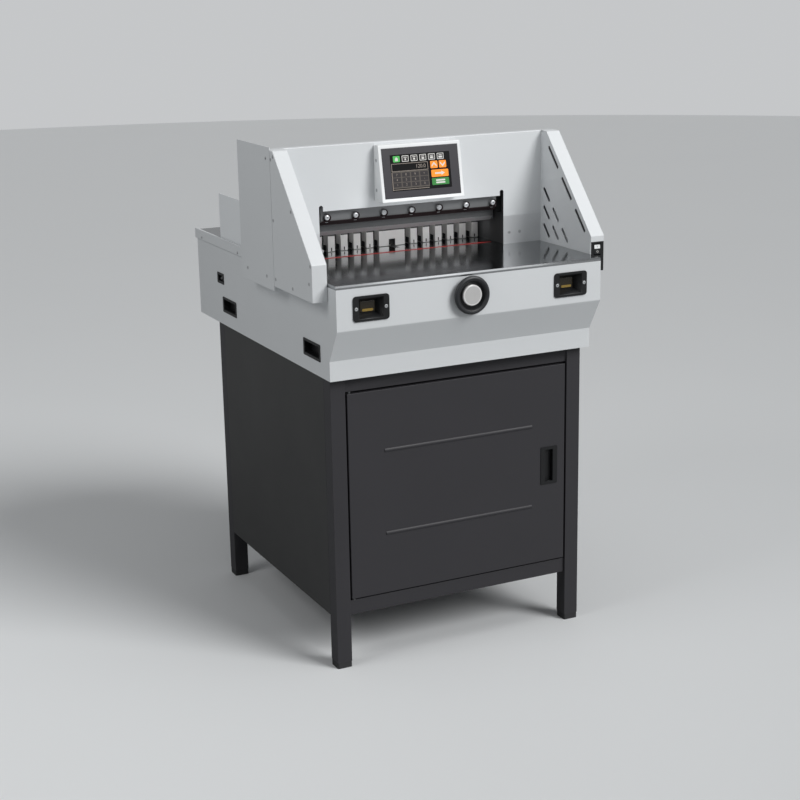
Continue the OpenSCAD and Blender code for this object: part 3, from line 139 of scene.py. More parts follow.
class CutterSizes(PropertyGroup):
    """Sizes of the folds and of the small hardware"""
    fold_radius: length("Fold radius", "Outer radius of a bent sheet cover", 0.002, 0.0005, 0.004)
    tube_radius: length("Tube radius", "Corner radius of the welded stand tubes", 0.003, 0.001, 0.005)
    mould_radius: length("Moulding radius", "Corner radius of a moulded part", 0.0015, 0.0005, 0.003)
    seam: length("Seam", "Open seam between a wing and the cover behind it", 0.0014, 0.0005, 0.003)
    edge_ease: length("Edge ease", "Rounding of a cut sheet edge", 0.0004, 0.0001, 0.001)
    screw_radius: length("Screw radius", "Radius of a cover screw's head", 0.0044, 0.002, 0.006)
    screw_rise: length("Screw rise", "How far a cover screw's head stands proud", 0.0006, 0.0003, 0.002)
    bolt_rise: length("Bolt rise", "How far a blade bolt's head stands proud", 0.006, 0.003, 0.008)
    key_rise: length("Key rise", "How far a key of the display stands proud", 0.0003, 0.0001, 0.001)
    bolts: IntProperty(name="Blade bolts", description="Bolts that hold the blade", default=7, min=3,
                       max=12)


class CutterFinishes(PropertyGroup):
    """Colours of the materials"""
    light_coat: colour("Light coat", "Powder coat of the sheet covers", "D6D9DB")
    dark_coat: colour("Dark coat", "Textured coat of the stand", "2A292D")
    panel_coat: colour("Panel coat", "Smoother coat of the stand's panels", "292929")
    black_abs: colour("Black ABS", "Moulded black parts", "121315")
    white_abs: colour("White ABS", "Moulded control box", "E4E6E7")
    overlay: colour("Overlay", "Printed film round the display", "2A282E")
    glass: colour("Glass", "Black glass of the display", "08080A")
    # Amber of the cut buttons, shown on their lit strips; the rest of each button face is painted nearly
    # black as shade.
    amber: colour("Amber", "Lens of a cut button", "8F7632")
    stick_red: colour("Stick red", "Cutting stick", "9C2A26")
    # Also the tone of the painted shade under the blade's carrier and round its bolts.
    seat_red: colour("Seat red", "Lacquer round the blade's seat", "1C0D10")
    steel: colour("Steel", "Ground and turned steel", "B9BBBD")
    table: colour("Table steel", "Ground table plate", "9C9EA0")
    stainless: colour("Stainless", "Brushed plates beside the throat", "D4D6D8")
    casting: colour("Casting", "Machined and primed iron", "6F7173")
    aluminium: colour("Aluminium", "Anodised gauge and turned cap", "D2D1D0")
    brass: colour("Brass", "Drive nut", "B08D4A")
    enamel: colour("Motor enamel", "Stoved enamel of the motors", "34383C")
    rubber: colour("Rubber", "Feet and belt", "28282A")
    key_orange: colour("Key orange", "Orange keys of the display", "F28A1E")
    key_green: colour("Key green", "Green keys of the display", "3FA34A")
    key_grey: colour("Key grey", "Pale icons and marks of the display", "C9C8C4")
    key_brown: colour("Key brown", "Warm grey outlines and digits of the display", "8F857C")
    key_dark: colour("Key dark", "Number keys of the display", "241F21")


class CutterStudio(PropertyGroup):
    """Camera, lights and surroundings"""
    lens: FloatProperty(name="Lens", description="Focal length in millimetres", default=73.208, min=20,
                        max=200)
    yaw: angle("Yaw", "Camera heading", 25.883)
    pitch: angle("Pitch", "Camera dip", 15.342)
    roll: angle("Roll", "Camera roll", -1.028)
    eye: FloatVectorProperty(name="Eye", description="Camera position", size=3, unit="LENGTH", subtype="XYZ",
                             default=(-1.869779, -3.909338, 1.755872))
    key_strength: strength("Key strength", "Soft key light from the right front", 2.2)
    top_power: strength("Top power", "Power of the overhead softbox in watts", 14)
    fill_power: strength("Fill power", "Power of the left softbox in watts", 27.5)
    front_power: strength("Front power", "Power of the softbox over the table in watts", 2.5)
    throat_power: strength("Throat power", "Power of the strip light in the throat in watts", 0.15)
    knife_power: strength("Knife power", "Power of the strip light before the bolts in watts", 0.09)
    sky_strength: strength("Sky strength", "Strength of the light from all round", 0.21)
    backdrop: strength("Backdrop", "Brightness of the surroundings in reflections", 0.4)
    horizon: strength("Horizon", "Brightness of the wall behind the floor", 0.62)
    sky: colour("Sky", "Tone of the light from all round", "F4F6F8")
    floor: colour("Floor", "Pale floor paint", "E2E4E5")
    bounce: colour("Bounce", "Tone of the light that the floor throws back", "AEB0B1")


def sizes():
    """The sizes that a user can change."""
    return bpy.context.scene.cutter_sizes


def finishes():
    """The colours that a user can change."""
    return bpy.context.scene.cutter_finishes


def studio():
    """The camera and light settings that a user can change."""
    return bpy.context.scene.cutter_studio


# Nodes and materials

def add(tree, kind, inputs=None, **settings):
    """Adds a node, sets its properties and fills its sockets with values or links."""
    node = tree.nodes.new(kind)
    for key, value in settings.items():
        setattr(node, key, value)
    for key, value in (inputs or {}).items():
        for item in value if isinstance(value, list) else [value]:
            if isinstance(item, bpy.types.NodeSocket):
                tree.links.new(item, node.inputs[key])
            else:
                node.inputs[key].default_value = item
    return node


def blank():
    """An empty material, its tree and the object's own coordinates."""
    material = bpy.data.materials.new("finish")
    material.use_nodes = True
    tree = material.node_tree
    tree.nodes.clear()
    return material, tree, add(tree, "ShaderNodeTexCoord").outputs["Object"]


def shaded(tree, inputs):
    """Adds the shader with its inputs and links it to the output."""
    shader = add(tree, "ShaderNodeBsdfPrincipled", inputs)
    add(tree, "ShaderNodeOutputMaterial", {"Surface": shader.outputs["BSDF"]})


def shade(tone, factor):
    """A colour made lighter or darker."""
    return tuple(min(1.0, c * factor) for c in tone[:3]) + (1.0,)


def grained(tone, grain, depth, rough, spread=0.06, cloud=180, metallic=0.0, ior=1.5, stretch=(1, 1, 1)):
    """A surface whose fine grain (mm) bumps it and whose slow clouds (mm) vary its tone and gloss.

    A real grain that is too fine to show is drawn coarser, so that it shows.
    """
    material, tree, where = blank()
    fine_place = add(tree, "ShaderNodeMapping", {"Vector": where, "Scale": tuple(1 / s for s in stretch)})
    fine = add(tree, "ShaderNodeTexNoise", {"Vector": fine_place.outputs["Vector"], "Scale": 1 / (grain * MM),
                                            "Detail": 2.0, "Roughness": 0.5})
    slow = add(tree, "ShaderNodeTexNoise", {"Vector": where, "Scale": 1 / (cloud * MM), "Detail": 3.0})
    both = add(tree, "ShaderNodeMix", {0: 0.5, 2: fine.outputs[0], 3: slow.outputs[0]}, data_type="FLOAT")
    tint = add(tree, "ShaderNodeMix", {0: both.outputs[0], 6: shade(tone, 1 - spread),
                                       7: shade(tone, 1 + spread)}, data_type="RGBA")
    gloss = add(tree, "ShaderNodeMapRange", {"Value": both.outputs[0], "From Min": 0.3, "From Max": 0.7,
                                             "To Min": rough[0], "To Max": rough[1]})
    bump = add(tree, "ShaderNodeBump", {"Height": fine.outputs[0], "Strength": depth,
                                        "Distance": BUMP_SHARE * grain * MM})
    shaded(tree, {"Base Color": tint.outputs[2], "Roughness": gloss.outputs[0],
                  "Normal": bump.outputs["Normal"], "Metallic": metallic, "IOR": ior})
    return material


def ringed(node, tone, pitch, depth, rough, metallic=0.0, rim=0.0):
    """A surface with rings (mm apart) round a node's axis along Y, darker in the grooves as painted shade,
    and paler by the given share at its rim as a painted highlight.
    """
    # Band of the radius that takes the painted highlight, and the tone of the painted shade in the grooves.
    rim_from, rim_to, groove_shade = 0.82, 0.88, 0.86
    material, tree, where = blank()
    low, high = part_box(node)
    middle, radius = (low + high) / 2, (high.x - low.x) / 2
    about = add(tree, "ShaderNodeMapping", {"Vector": where, "Location": (-middle.x, 0, -middle.z),
                                            "Scale": (1, 0, 1)}).outputs["Vector"]
    rings = add(tree, "ShaderNodeTexWave", {"Vector": about, "Scale": WAVE / (pitch * MM), "Distortion": 0.4},
                wave_type="RINGS", rings_direction="Y").outputs["Fac"]
    tint = add(tree, "ShaderNodeMix", {0: rings, 6: shade(tone, groove_shade), 7: tone}, data_type="RGBA")
    out = add(tree, "ShaderNodeVectorMath", {0: about}, operation="LENGTH")
    edge = add(tree, "ShaderNodeMapRange", {"Value": out.outputs["Value"], "From Min": rim_from * radius,
                                            "From Max": rim_to * radius})
    whole = add(tree, "ShaderNodeMix", {0: edge.outputs[0], 6: tint.outputs[2], 7: shade(tone, 1 + rim)},
                data_type="RGBA")
    bump = add(tree, "ShaderNodeBump", {"Height": rings, "Strength": depth,
                                        "Distance": BUMP_SHARE * pitch * MM})
    shaded(tree, {"Base Color": whole.outputs[2], "Roughness": rough, "Normal": bump.outputs["Normal"],
                  "Metallic": metallic})
    return material


def lit(tone, glow):
    """A lit patch of the display: fine rows of pixels, drawn coarser than real ones so that they show."""
    row, dim, full = 0.9 * MM, 0.8, 1.1
    material, tree, where = blank()
    rows = add(tree, "ShaderNodeTexWave", {"Vector": where, "Scale": WAVE / row}, bands_direction="Z")
    tint = add(tree, "ShaderNodeMix", {0: rows.outputs["Fac"], 6: shade(tone, dim), 7: shade(tone, full)},
               data_type="RGBA")
    shaded(tree, {"Base Color": tint.outputs[2], "Emission Color": tint.outputs[2],
                  "Emission Strength": glow, "Roughness": 0.3})
    return material


def light_powder_coat():
    """Sprayed and baked: a faint orange peel breaks up the soft sheen."""
    return grained(finishes().light_coat, grain=2.4, depth=0.1, rough=(0.36, 0.46), spread=0.025)


def painted_light_guide_coat():
    """Smoother powder on the upright guides of the rear table, with a tighter sheen: the light coat painted
    paler, as painted light on the guides.
    """
    return grained(shade(finishes().light_coat, 1.2), grain=2.0, depth=0.06, rough=(0.3, 0.4), spread=0.02)


def dark_textured_coat():
    """Coarse anthracite powder: small pimples scatter the light, so edges show grey."""
    return grained(finishes().dark_coat, grain=1.6, depth=0.3, rough=(0.5, 0.62), spread=0.14)


def neutral_panel_coat():
    """Smoother powder on the stand's flat panels: a shade off the tubes, with a calmer sheen."""
    return grained(finishes().panel_coat, grain=1.8, depth=0.2, rough=(0.46, 0.56), spread=0.1)


def black_moulded_abs():
    """Spark-eroded mould grain: deep black with a soft sheen."""
    return grained(finishes().black_abs, grain=1.1, depth=0.16, rough=(0.4, 0.52), spread=0.12, ior=1.42)


def ridged_black_abs():
    """Moulded wheel whose grip has fine ridges: thin grey rings round the axis, with painted shade in their
    grooves and a painted highlight at the rim.
    """
    return ringed("handwheel", shade(finishes().black_abs, 1.8), pitch=4.5, depth=0.5, rough=0.46, rim=0.6)


def white_moulded_abs():
    """Fine mould grain on a pale housing: an even white with a soft sheen."""
    return grained(finishes().white_abs, grain=1.1, depth=0.08, rough=(0.4, 0.48), spread=0.02, ior=1.53)


def printed_overlay():
    """Printed polycarbonate film with a velvet face: dark, with a blurred shine."""
    return grained(finishes().overlay, grain=0.9, depth=0.06, rough=(0.32, 0.4), spread=0.05, cloud=60)


def display_glass():
    """Black glass with faint finger smears in its gloss."""
    return grained(finishes().glass, grain=12.0, depth=0.01, rough=(0.07, 0.16), spread=0.3, cloud=45)


def amber_strip_painted_light():
    """Amber strip low on a cut button, where light reaches its amber face in the recess: painted light, with
    a faint painted glow.
    """
    material = grained(finishes().amber, grain=3.0, depth=0.05, rough=(0.14, 0.2), spread=0.1, cloud=12)
    shader = material.node_tree.nodes["Principled BSDF"]
    # A faint painted glow.
    shader.inputs["Emission Color"].default_value = finishes().amber
    shader.inputs["Emission Strength"].default_value = 0.05
    return material


def button_amber_in_painted_shade():
    """Push face of a cut button: its amber painted nearly black as the shade deep in its recess, with a clear
    highlight.
    """
    return grained(shade(finishes().amber, 0.06), grain=2.0, depth=0.06, rough=(0.2, 0.3), spread=0.2,
                   cloud=10)


def red_extruded_nylon():
    """Extruded stick, scored by the blade along its length: a dull, streaky red."""
    return grained(finishes().stick_red, grain=1.0, depth=0.2, rough=(0.4, 0.55), spread=0.12,
                   stretch=(60, 1, 1))


def blade_seat_paint():
    """Dark red lacquer round the blade's seat, with little shine; it also paints the shade under the carrier
    and round the bolts.
    """
    return grained(finishes().seat_red, grain=1.6, depth=0.1, rough=(0.5, 0.6), spread=0.12, ior=1.33)


def ground_table_steel():
    """Surface-ground plate: a mirror blurred by grinding lines that run along X."""
    return grained(finishes().table, grain=1.2, depth=0.015, rough=(0.1, 0.15), spread=0.04, metallic=1.0,
                   stretch=(50, 1, 1))


def brushed_stainless():
    """Belt-brushed sheet: upright lines draw the light out into streaks."""
    return grained(finishes().stainless, grain=0.9, depth=0.05, rough=(0.34, 0.42), metallic=0.5,
                   stretch=(1, 1, 45))


def dark_steel_and_blade_reflection():
    """Dark steel of the blade's body and the door's hinge pins, with upright grinding lines; on the blade its
    dark tone paints the dark reflection on its face.
    """
    return grained(shade(finishes().steel, 0.23), grain=0.8, depth=0.03, rough=(0.34, 0.44), spread=0.1,
                   cloud=40, metallic=0.6, stretch=(1, 1, 30))


def ground_blade_steel():
    """Cutting bevel, ground across its length: paler than the blade's body, a bright band at the edge that
    also paints the highlight where the bevel catches the light.
    """
    return grained(shade(finishes().steel, 0.8), grain=0.8, depth=0.03, rough=(0.3, 0.4), metallic=0.3,
                   stretch=(1, 1, 30))


def milled_steel():
    """Milled carrier of the blade: cutter marks blur its shine."""
    return grained(shade(finishes().steel, 0.43), grain=1.4, depth=0.05, rough=(0.36, 0.46), metallic=0.5,
                   stretch=(30, 1, 1))


def turned_steel():
    """Turned and polished rods and screws: sharp highlights along them."""
    return grained(finishes().steel, grain=0.8, depth=0.04, rough=(0.18, 0.28), spread=0.05, metallic=1.0)


def zinc_plated_steel():
    """Zinc on small fasteners: a pale, slightly mottled shine."""
    return grained(finishes().steel, grain=0.7, depth=0.06, rough=(0.4, 0.5), spread=0.08, cloud=9,
                   metallic=0.7)


def bright_zinc():
    """Zinc on the heads of the blade bolts, painted paler than on the other fasteners as painted light, so
    that they stand out pale in the shade of the control box too.
    """
    return grained(shade(finishes().steel, 1.4), grain=0.7, depth=0.04, rough=(0.3, 0.4), spread=0.04,
                   cloud=9, metallic=0.3)


def primed_cast_iron():
    """Sand-cast iron, milled and primed: a dull, uneven grey."""
    return grained(finishes().casting, grain=2.0, depth=0.2, rough=(0.45, 0.6), spread=0.1, cloud=60)


def painted_shade_cast_iron():
    """Cast iron faces beside the knife: painted dark as the shade inside the throat, with a soft sheen."""
    return grained(shade(finishes().casting, 0.3), grain=1.6, depth=0.1, rough=(0.36, 0.5), spread=0.12,
                   cloud=60)


def anodised_aluminium():
    """Satin anodised bars: pale, with a fine upright grain."""
    return grained(finishes().aluminium, grain=0.8, depth=0.03, rough=(0.3, 0.38), spread=0.03, metallic=0.6,
                   stretch=(1, 1, 25))


def dark_anodised_aluminium():
    """Nearly black patches on the gauge's back plate, its hub window and the tops of its bars: painted shade,
    with a soft sheen.
    """
    return grained(shade(finishes().aluminium, 0.05), grain=0.8, depth=0.05, rough=(0.4, 0.5), spread=0.1)


def turned_cap_aluminium():
    """Faced on a lathe: fine rings round the wheel's axis, darker in their grooves as painted shade, and a
    rim painted paler as the highlight on its chamfer.
    """
    return ringed("handwheel_cap", shade(finishes().aluminium, 1.06), pitch=2.2, depth=0.1, rough=0.3,
                  metallic=0.5, rim=0.35)


def cast_brass():
    """Machined bronze-yellow nut: warm, clear highlights."""
    return grained(finishes().brass, grain=0.9, depth=0.05, rough=(0.22, 0.32), spread=0.07, metallic=1.0,
                   cloud=20)


def motor_enamel():
    """Stoved enamel over a ribbed casting: dark and half glossy."""
    return grained(finishes().enamel, grain=3.0, depth=0.12, rough=(0.3, 0.42), spread=0.08)


def epdm_rubber():
    """Moulded rubber, dull with a dusty bloom."""
    return grained(finishes().rubber, grain=1.4, depth=0.2, rough=(0.65, 0.8), spread=0.2, cloud=30)


def lit_orange():
    """Orange key of the display."""
    return lit(finishes().key_orange, glow=0.35)


def lit_green():
    """Green key of the display."""
    return lit(finishes().key_green, glow=0.3)


def lit_deep_green():
    """Deep green start key of the display."""
    return lit(shade(finishes().key_green, 0.5), glow=0.3)


def lit_grey():
    """Pale icons and marks of the display."""
    return lit(finishes().key_grey, glow=0.25)


def lit_brown():
    """Warm grey outlines and digits of the display."""
    return lit(finishes().key_brown, glow=0.1)


def lit_umber():
    """Dark brown ground of the keypad."""
    return lit(shade(finishes().key_brown, 0.28), glow=0.1)


def lit_dark():
    """Dark number keys of the display."""
    return lit(finishes().key_dark, glow=0.1)


def studio_floor_paint():
    """Smooth floor paint: pale to the camera, and a little darker in the light that it throws back."""
    material = grained(studio().floor, grain=6, depth=0.05, rough=(0.6, 0.7), spread=0.01, cloud=900)
    tree = material.node_tree
    base = tree.nodes["Principled BSDF"].inputs["Base Color"]
    ray = add(tree, "ShaderNodeLightPath").outputs
    tone = add(tree, "ShaderNodeMix", {0: ray["Is Camera Ray"], 6: studio().bounce,
                                       7: base.links[0].from_socket}, data_type="RGBA")
    tree.links.new(tone.outputs[2], base)
    return material


SLOT_FINISH = {
    "light_paint": light_powder_coat, "dark_paint": dark_textured_coat, "black_rubber": epdm_rubber,
    "black_plastic": black_moulded_abs, "white_plastic": white_moulded_abs,
    # The amber cut buttons are painted nearly black: painted shade in their recesses.
    "screen_plastic": printed_overlay, "amber_plastic": button_amber_in_painted_shade, "red_plastic": red_extruded_nylon,
    # The blade's body wears dark steel whose tone paints the dark reflection on its face.
    "table_steel": ground_table_steel, "blade_steel": dark_steel_and_blade_reflection, "bright_steel": turned_steel,
    "grey_casting": primed_cast_iron, "gauge_aluminium": anodised_aluminium,
    "cap_aluminium": turned_cap_aluminium, "nut_brass": cast_brass, "motor_paint": motor_enamel,
}
# Nodes whose finish differs from that of their slot
NODE_FINISH = {
    "splash_plates": brushed_stainless, "knife_beam": milled_steel, "handwheel": ridged_black_abs,
    # The side columns wear cast iron painted dark: painted shade inside the throat.
    "door_hinge_pins": dark_steel_and_blade_reflection, "side_columns": painted_shade_cast_iron,
    # The rear side guides wear the light coat painted paler: painted light.
    "rear_side_guides": painted_light_guide_coat, "stand_side_panels": neutral_panel_coat,
    "stand_back_panel": neutral_panel_coat,
}


def made(maker):
    """The material of a maker, made once and named for it."""
    material = bpy.data.materials.get(maker.__name__)
    if not material:
        material = maker()
        material.name = maker.__name__
    return material


def finish_of(node):
    """The material that a CAD node wears."""
    return made(NODE_FINISH.get(node, SLOT_FINISH[NODE_SLOT[node]]))


# Meshes and pieces

def baked(obj):
    """Turns an object's modifiers into a plain mesh."""
    graph = bpy.context.evaluated_depsgraph_get()
    mesh = bpy.data.meshes.new_from_object(obj.evaluated_get(graph), depsgraph=graph)
    if not mesh.polygons:
        raise RuntimeError(f"{obj.name} came out empty")
    obj.modifiers.clear()
    old, obj.data = obj.data, mesh
    bpy.data.meshes.remove(old)
    mesh.name = obj.name
    return mesh


def shown(name, data):
    """A new object for a mesh, a light or a camera, at the origin."""
    obj = bpy.data.objects.new(name, data)
    bpy.context.scene.collection.objects.link(obj)
    return obj


def piece(name, mesh, maker, body):
    """A finished piece that rides on a body and wears one material."""
    mesh.materials.clear()
    mesh.materials.append(made(maker))
    obj = shown(name, mesh)
    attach(obj, body)


def softened(node, fold, second=None):
    """A copy of a CAD node with rounded folds, which stands for the node.

    A second material is given with the test that says which faces wear it.
    """
    source = NODES[node]
    mesh = source.data.copy()
    work = bmesh.new()
    work.from_mesh(mesh)
    bmesh.ops.remove_doubles(work, verts=work.verts, dist=MERGE)
    bmesh.ops.dissolve_limit(work, angle_limit=FLAT, verts=work.verts, edges=work.edges)
    weight = work.edges.layers.float.new("bevel_weight_edge")
    for line in work.edges:
        if len(line.link_faces) != 2:
            continue
        turn = line.calc_face_angle_signed(0.0)
        if abs(turn) < FOLD_ANGLE:
            continue
        thin = min(2 * face.calc_area() / face.calc_perimeter() for face in line.link_faces)
        if turn > 0 and thin > SHEET_LIMIT:
            line[weight] = min(fold, FOLD_SHARE * thin) / fold
        else:
            line.smooth = False
    mesh.materials.clear()
    mesh.materials.append(finish_of(node))
    if second:
        maker, wears = second
        mesh.materials.append(made(maker))
        for face in work.faces:
            face.material_index = 1 if wears(face) else 0
    work.to_mesh(mesh)
    work.free()
    mesh.shade_smooth()
    obj = shown(f"{node}_finished", mesh)
    bevel = obj.modifiers.new("folds", "BEVEL")
    bevel.limit_method = "WEIGHT"
    bevel.width = fold
    bevel.segments = FOLD_STEPS
    bevel.loop_slide = False
    normals = obj.modifiers.new("normals", "WEIGHTED_NORMAL")
    normals.keep_sharp = True
    baked(obj)
    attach(obj, source["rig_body"])
    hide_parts(node)
    return obj


def rounded(wide, tall, radius, at, steps=4):
    """Corners of a rounded rectangle round a place, counter-clockwise."""
    points = []
    for k, (sx, sy) in enumerate(((1, 1), (-1, 1), (-1, -1), (1, -1))):
        for step in range(steps + 1):
            turn = math.radians(90 * (k + step / steps))
            points.append((at[0] + sx * (wide / 2 - radius) + radius * math.cos(turn),
                           at[1] + sy * (tall / 2 - radius) + radius * math.sin(turn)))
    return points


def slabs(outlines, low, high):
    """A mesh of flat slabs, one for each outline, between two heights."""
    work = bmesh.new()
    for outline in outlines:
        floor = work.faces.new([work.verts.new((x, y, low)) for x, y in outline])
        floor.normal_update()
        rise = bmesh.ops.extrude_face_region(work, geom=[floor])
        tops = [part for part in rise["geom"] if isinstance(part, bmesh.types.BMVert)]
        bmesh.ops.translate(work, verts=tops, vec=(0, 0, high - low))
    bmesh.ops.recalc_face_normals(work, faces=work.faces)
    mesh = bpy.data.meshes.new("slabs")
    work.to_mesh(mesh)
    work.free()
    return mesh


def lettering(lines, height, rise):
    """A mesh of flat characters, each given with its place."""
    work = bmesh.new()
    for text, x, y in lines:
        curve = bpy.data.curves.new("lettering", "FONT")
        curve.body = text
        curve.size = height
        curve.align_x = "CENTER"
        curve.align_y = "CENTER"
        curve.extrude = rise / 2
        obj = shown("lettering", curve)
        graph = bpy.context.evaluated_depsgraph_get()
        mesh = bpy.data.meshes.new_from_object(obj.evaluated_get(graph), depsgraph=graph)
        mesh.transform(Matrix.Translation((x, y, rise / 2)))
        work.from_mesh(mesh)
        bpy.data.objects.remove(obj)
        bpy.data.curves.remove(curve)
        bpy.data.meshes.remove(mesh)
    mesh = bpy.data.meshes.new("lettering")
    work.to_mesh(mesh)
    work.free()
    return mesh


def front_face(node):
    """Place of a node's widest forward face (X across, Y up the face, Z outward), its width and height."""
    same_way, same_level = 0.999, 0.1 * MM
    mesh = NODES[node].data
    widest = max((f for f in mesh.polygons if f.normal.y < LEANS_FORWARD), key=lambda f: f.area)
    out = widest.normal.normalized()
    across = RIGHT
    up = out.cross(across).normalized()
    level = out.dot(widest.center)
    spots = [mesh.vertices[v].co for f in mesh.polygons for v in f.vertices
             if f.normal.dot(out) > same_way and abs(out.dot(f.center) - level) < same_level]
    wide = [across.dot(p) for p in spots]
    tall = [up.dot(p) for p in spots]
    middle = across * (min(wide) + max(wide)) / 2 + up * (min(tall) + max(tall)) / 2 + out * level
    place = Matrix((across, up, out)).transposed().to_4x4()
    place.translation = middle
    return place, max(wide) - min(wide), max(tall) - min(tall)


# Repeated hardware

def tree_with(name, inputs):
    """A Geometry Nodes tree with a geometry input, the named inputs and one geometry output."""
    tree = bpy.data.node_groups.new(name, "GeometryNodeTree")
    for label, kind, direction in ([("Geometry", "NodeSocketGeometry", "INPUT")]
                                   + [(label, kind, "INPUT") for label, kind in inputs]
                                   + [("Geometry", "NodeSocketGeometry", "OUTPUT")]):
        tree.interface.new_socket(name=label, in_out=direction, socket_type=kind)
    return tree, add(tree, "NodeGroupInput").outputs


def copies(tree, given, shape, scale):
    """Puts a unit shape on every point, turned to face along the point's own direction, and realizes it."""
    facing = add(tree, "GeometryNodeInputNamedAttribute", {"Name": "facing"}, data_type="FLOAT_VECTOR")
    turned = add(tree, "FunctionNodeAlignRotationToVector", {"Vector": facing.outputs["Attribute"]}, axis="Z")
    spin = add(tree, "FunctionNodeRandomValue", {2: 0.0, 3: given["Spin"], "Seed": SPIN_SEED},
               data_type="FLOAT")
    about = add(tree, "ShaderNodeCombineXYZ", {"Z": spin.outputs[1]})
    euler = add(tree, "FunctionNodeEulerToRotation", {"Euler": about.outputs[0]})
    spun = add(tree, "FunctionNodeRotateRotation", {"Rotation": turned.outputs[0],
                                                    "Rotate By": euler.outputs[0]}, rotation_space="LOCAL")
    placed = add(tree, "GeometryNodeInstanceOnPoints", {"Points": given["Geometry"], "Instance": shape,
                                                        "Rotation": spun.outputs[0], "Scale": scale})
    real = add(tree, "GeometryNodeRealizeInstances", {"Geometry": placed.outputs[0]})
    dressed = add(tree, "GeometryNodeSetMaterial", {"Geometry": real.outputs[0],
                                                    "Material": given["Material"]})
    add(tree, "NodeGroupOutput", {"Geometry": dressed.outputs[0]})


def head_tree():
    """Screw or bolt heads: a dome cut to a cylinder, less a cross or a hexagon recess."""
    segments, bar_length, bar_width, recess, sink = 32, 1.15, 0.3, 1.2, 0.95
    tree, given = tree_with("head_tree", (
        ("Head radius", "NodeSocketFloat"), ("Head rise", "NodeSocketFloat"), ("Dome", "NodeSocketFloat"),
        ("Hexagon", "NodeSocketBool"), ("Spin", "NodeSocketFloat"), ("Material", "NodeSocketMaterial")))
    ball = add(tree, "GeometryNodeMeshUVSphere", {"Segments": segments, "Rings": 16, "Radius": 1.0})
    wide = add(tree, "ShaderNodeCombineXYZ", {"X": given["Dome"], "Y": given["Dome"], "Z": 1.0})
    dome = add(tree, "GeometryNodeTransform", {"Geometry": ball.outputs[0], "Scale": wide.outputs[0]})
    post = add(tree, "GeometryNodeMeshCylinder", {"Vertices": segments, "Radius": 1.0, "Depth": 1.9})
    head = add(tree, "GeometryNodeMeshBoolean", {"Mesh 2": [dome.outputs[0], post.outputs[0]]},
               operation="INTERSECT")
    bar = add(tree, "GeometryNodeMeshCube", {"Size": (bar_length, bar_width, recess)})
    rib = add(tree, "GeometryNodeMeshCube", {"Size": (bar_width, bar_length, recess)})
    cross = add(tree, "GeometryNodeMeshBoolean", {"Mesh 2": [bar.outputs[0], rib.outputs[0]]},
                operation="UNION")
    hexagon = add(tree, "GeometryNodeMeshCylinder", {"Vertices": 6, "Radius": 0.52, "Depth": recess})
    tool = add(tree, "GeometryNodeSwitch", {"Switch": given["Hexagon"], "False": cross.outputs[0],
                                            "True": hexagon.outputs[0]}, input_type="GEOMETRY")
    sunk = add(tree, "GeometryNodeTransform", {"Geometry": tool.outputs[0], "Translation": (0, 0, sink)})
    cut = add(tree, "GeometryNodeMeshBoolean", {"Mesh 1": head.outputs[0], "Mesh 2": sunk.outputs[0]},
              operation="DIFFERENCE")
    scale = add(tree, "ShaderNodeCombineXYZ", {"X": given["Head radius"], "Y": given["Head radius"],
                                               "Z": given["Head rise"]})
    copies(tree, given, cut.outputs[0], scale.outputs[0])
    return tree


def key_tree():
    """Keys and tabs: a rounded outline, filled and raised, closed underneath."""
    tree, given = tree_with("key_tree", (
        ("Key width", "NodeSocketFloat"), ("Key height", "NodeSocketFloat"), ("Corner", "NodeSocketFloat"),
        ("Rise", "NodeSocketFloat"), ("Spin", "NodeSocketFloat"), ("Material", "NodeSocketMaterial")))
    outline = add(tree, "GeometryNodeCurvePrimitiveQuadrilateral", {"Width": given["Key width"],
                                                                    "Height": given["Key height"]})
    soft = add(tree, "GeometryNodeFilletCurve", {"Curve": outline.outputs[0], "Count": 4,
                                                 "Radius": given["Corner"]}, mode="POLY")
    floor = add(tree, "GeometryNodeFillCurve", {"Curve": soft.outputs[0]}, mode="NGONS")
    risen = add(tree, "GeometryNodeExtrudeMesh", {"Mesh": floor.outputs[0], "Offset Scale": given["Rise"]})
    under = add(tree, "GeometryNodeFlipFaces", {"Mesh": floor.outputs[0]})
    whole = add(tree, "GeometryNodeJoinGeometry", {"Geometry": [risen.outputs[0], under.outputs[0]]})
    closed = add(tree, "GeometryNodeMergeByDistance", {"Geometry": whole.outputs[0], "Distance": MERGE})
    copies(tree, given, closed.outputs[0], (1.0, 1.0, 1.0))
    return tree


def grown(name, maker, body, slot, build, spots, place=None, **values):
    """Grows one piece of like parts on points, each given with the way it faces."""
    mesh = bpy.data.meshes.new(name)
    mesh.from_pydata([at for at, _ in spots], [], [])
    facing = mesh.attributes.new("facing", "FLOAT_VECTOR", "POINT")
    facing.data.foreach_set("vector", [c for _, way in spots for c in way])
    obj = shown(name, mesh)
    grower = obj.modifiers.new("grower", "NODES")
    tree = bpy.data.node_groups.get(build.__name__) or build()
    grower.node_group = tree
    values["Material"] = made(maker)
    for item in tree.interface.items_tree:
        label = item.name.replace(" ", "_")
        if item.in_out == "INPUT" and label in values:
            grower[item.identifier] = values[label]
    mesh = baked(obj)
    mesh.shade_smooth()
    mesh.set_sharp_from_angle(angle=SMOOTH_ANGLE)
    if place:
        mesh.transform(place)
    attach(obj, body)
    return obj


def tabs(name, maker, body, slot, spots, size, corner, rise, place=None):
    """Grows one piece of rounded tabs of one size on points, each given with the way it faces."""
    wide, tall = size
    grown(name, maker, body, slot, key_tree, spots, place, Key_width=wide, Key_height=tall, Corner=corner,
          Rise=rise, Spin=0.0)


# Studio

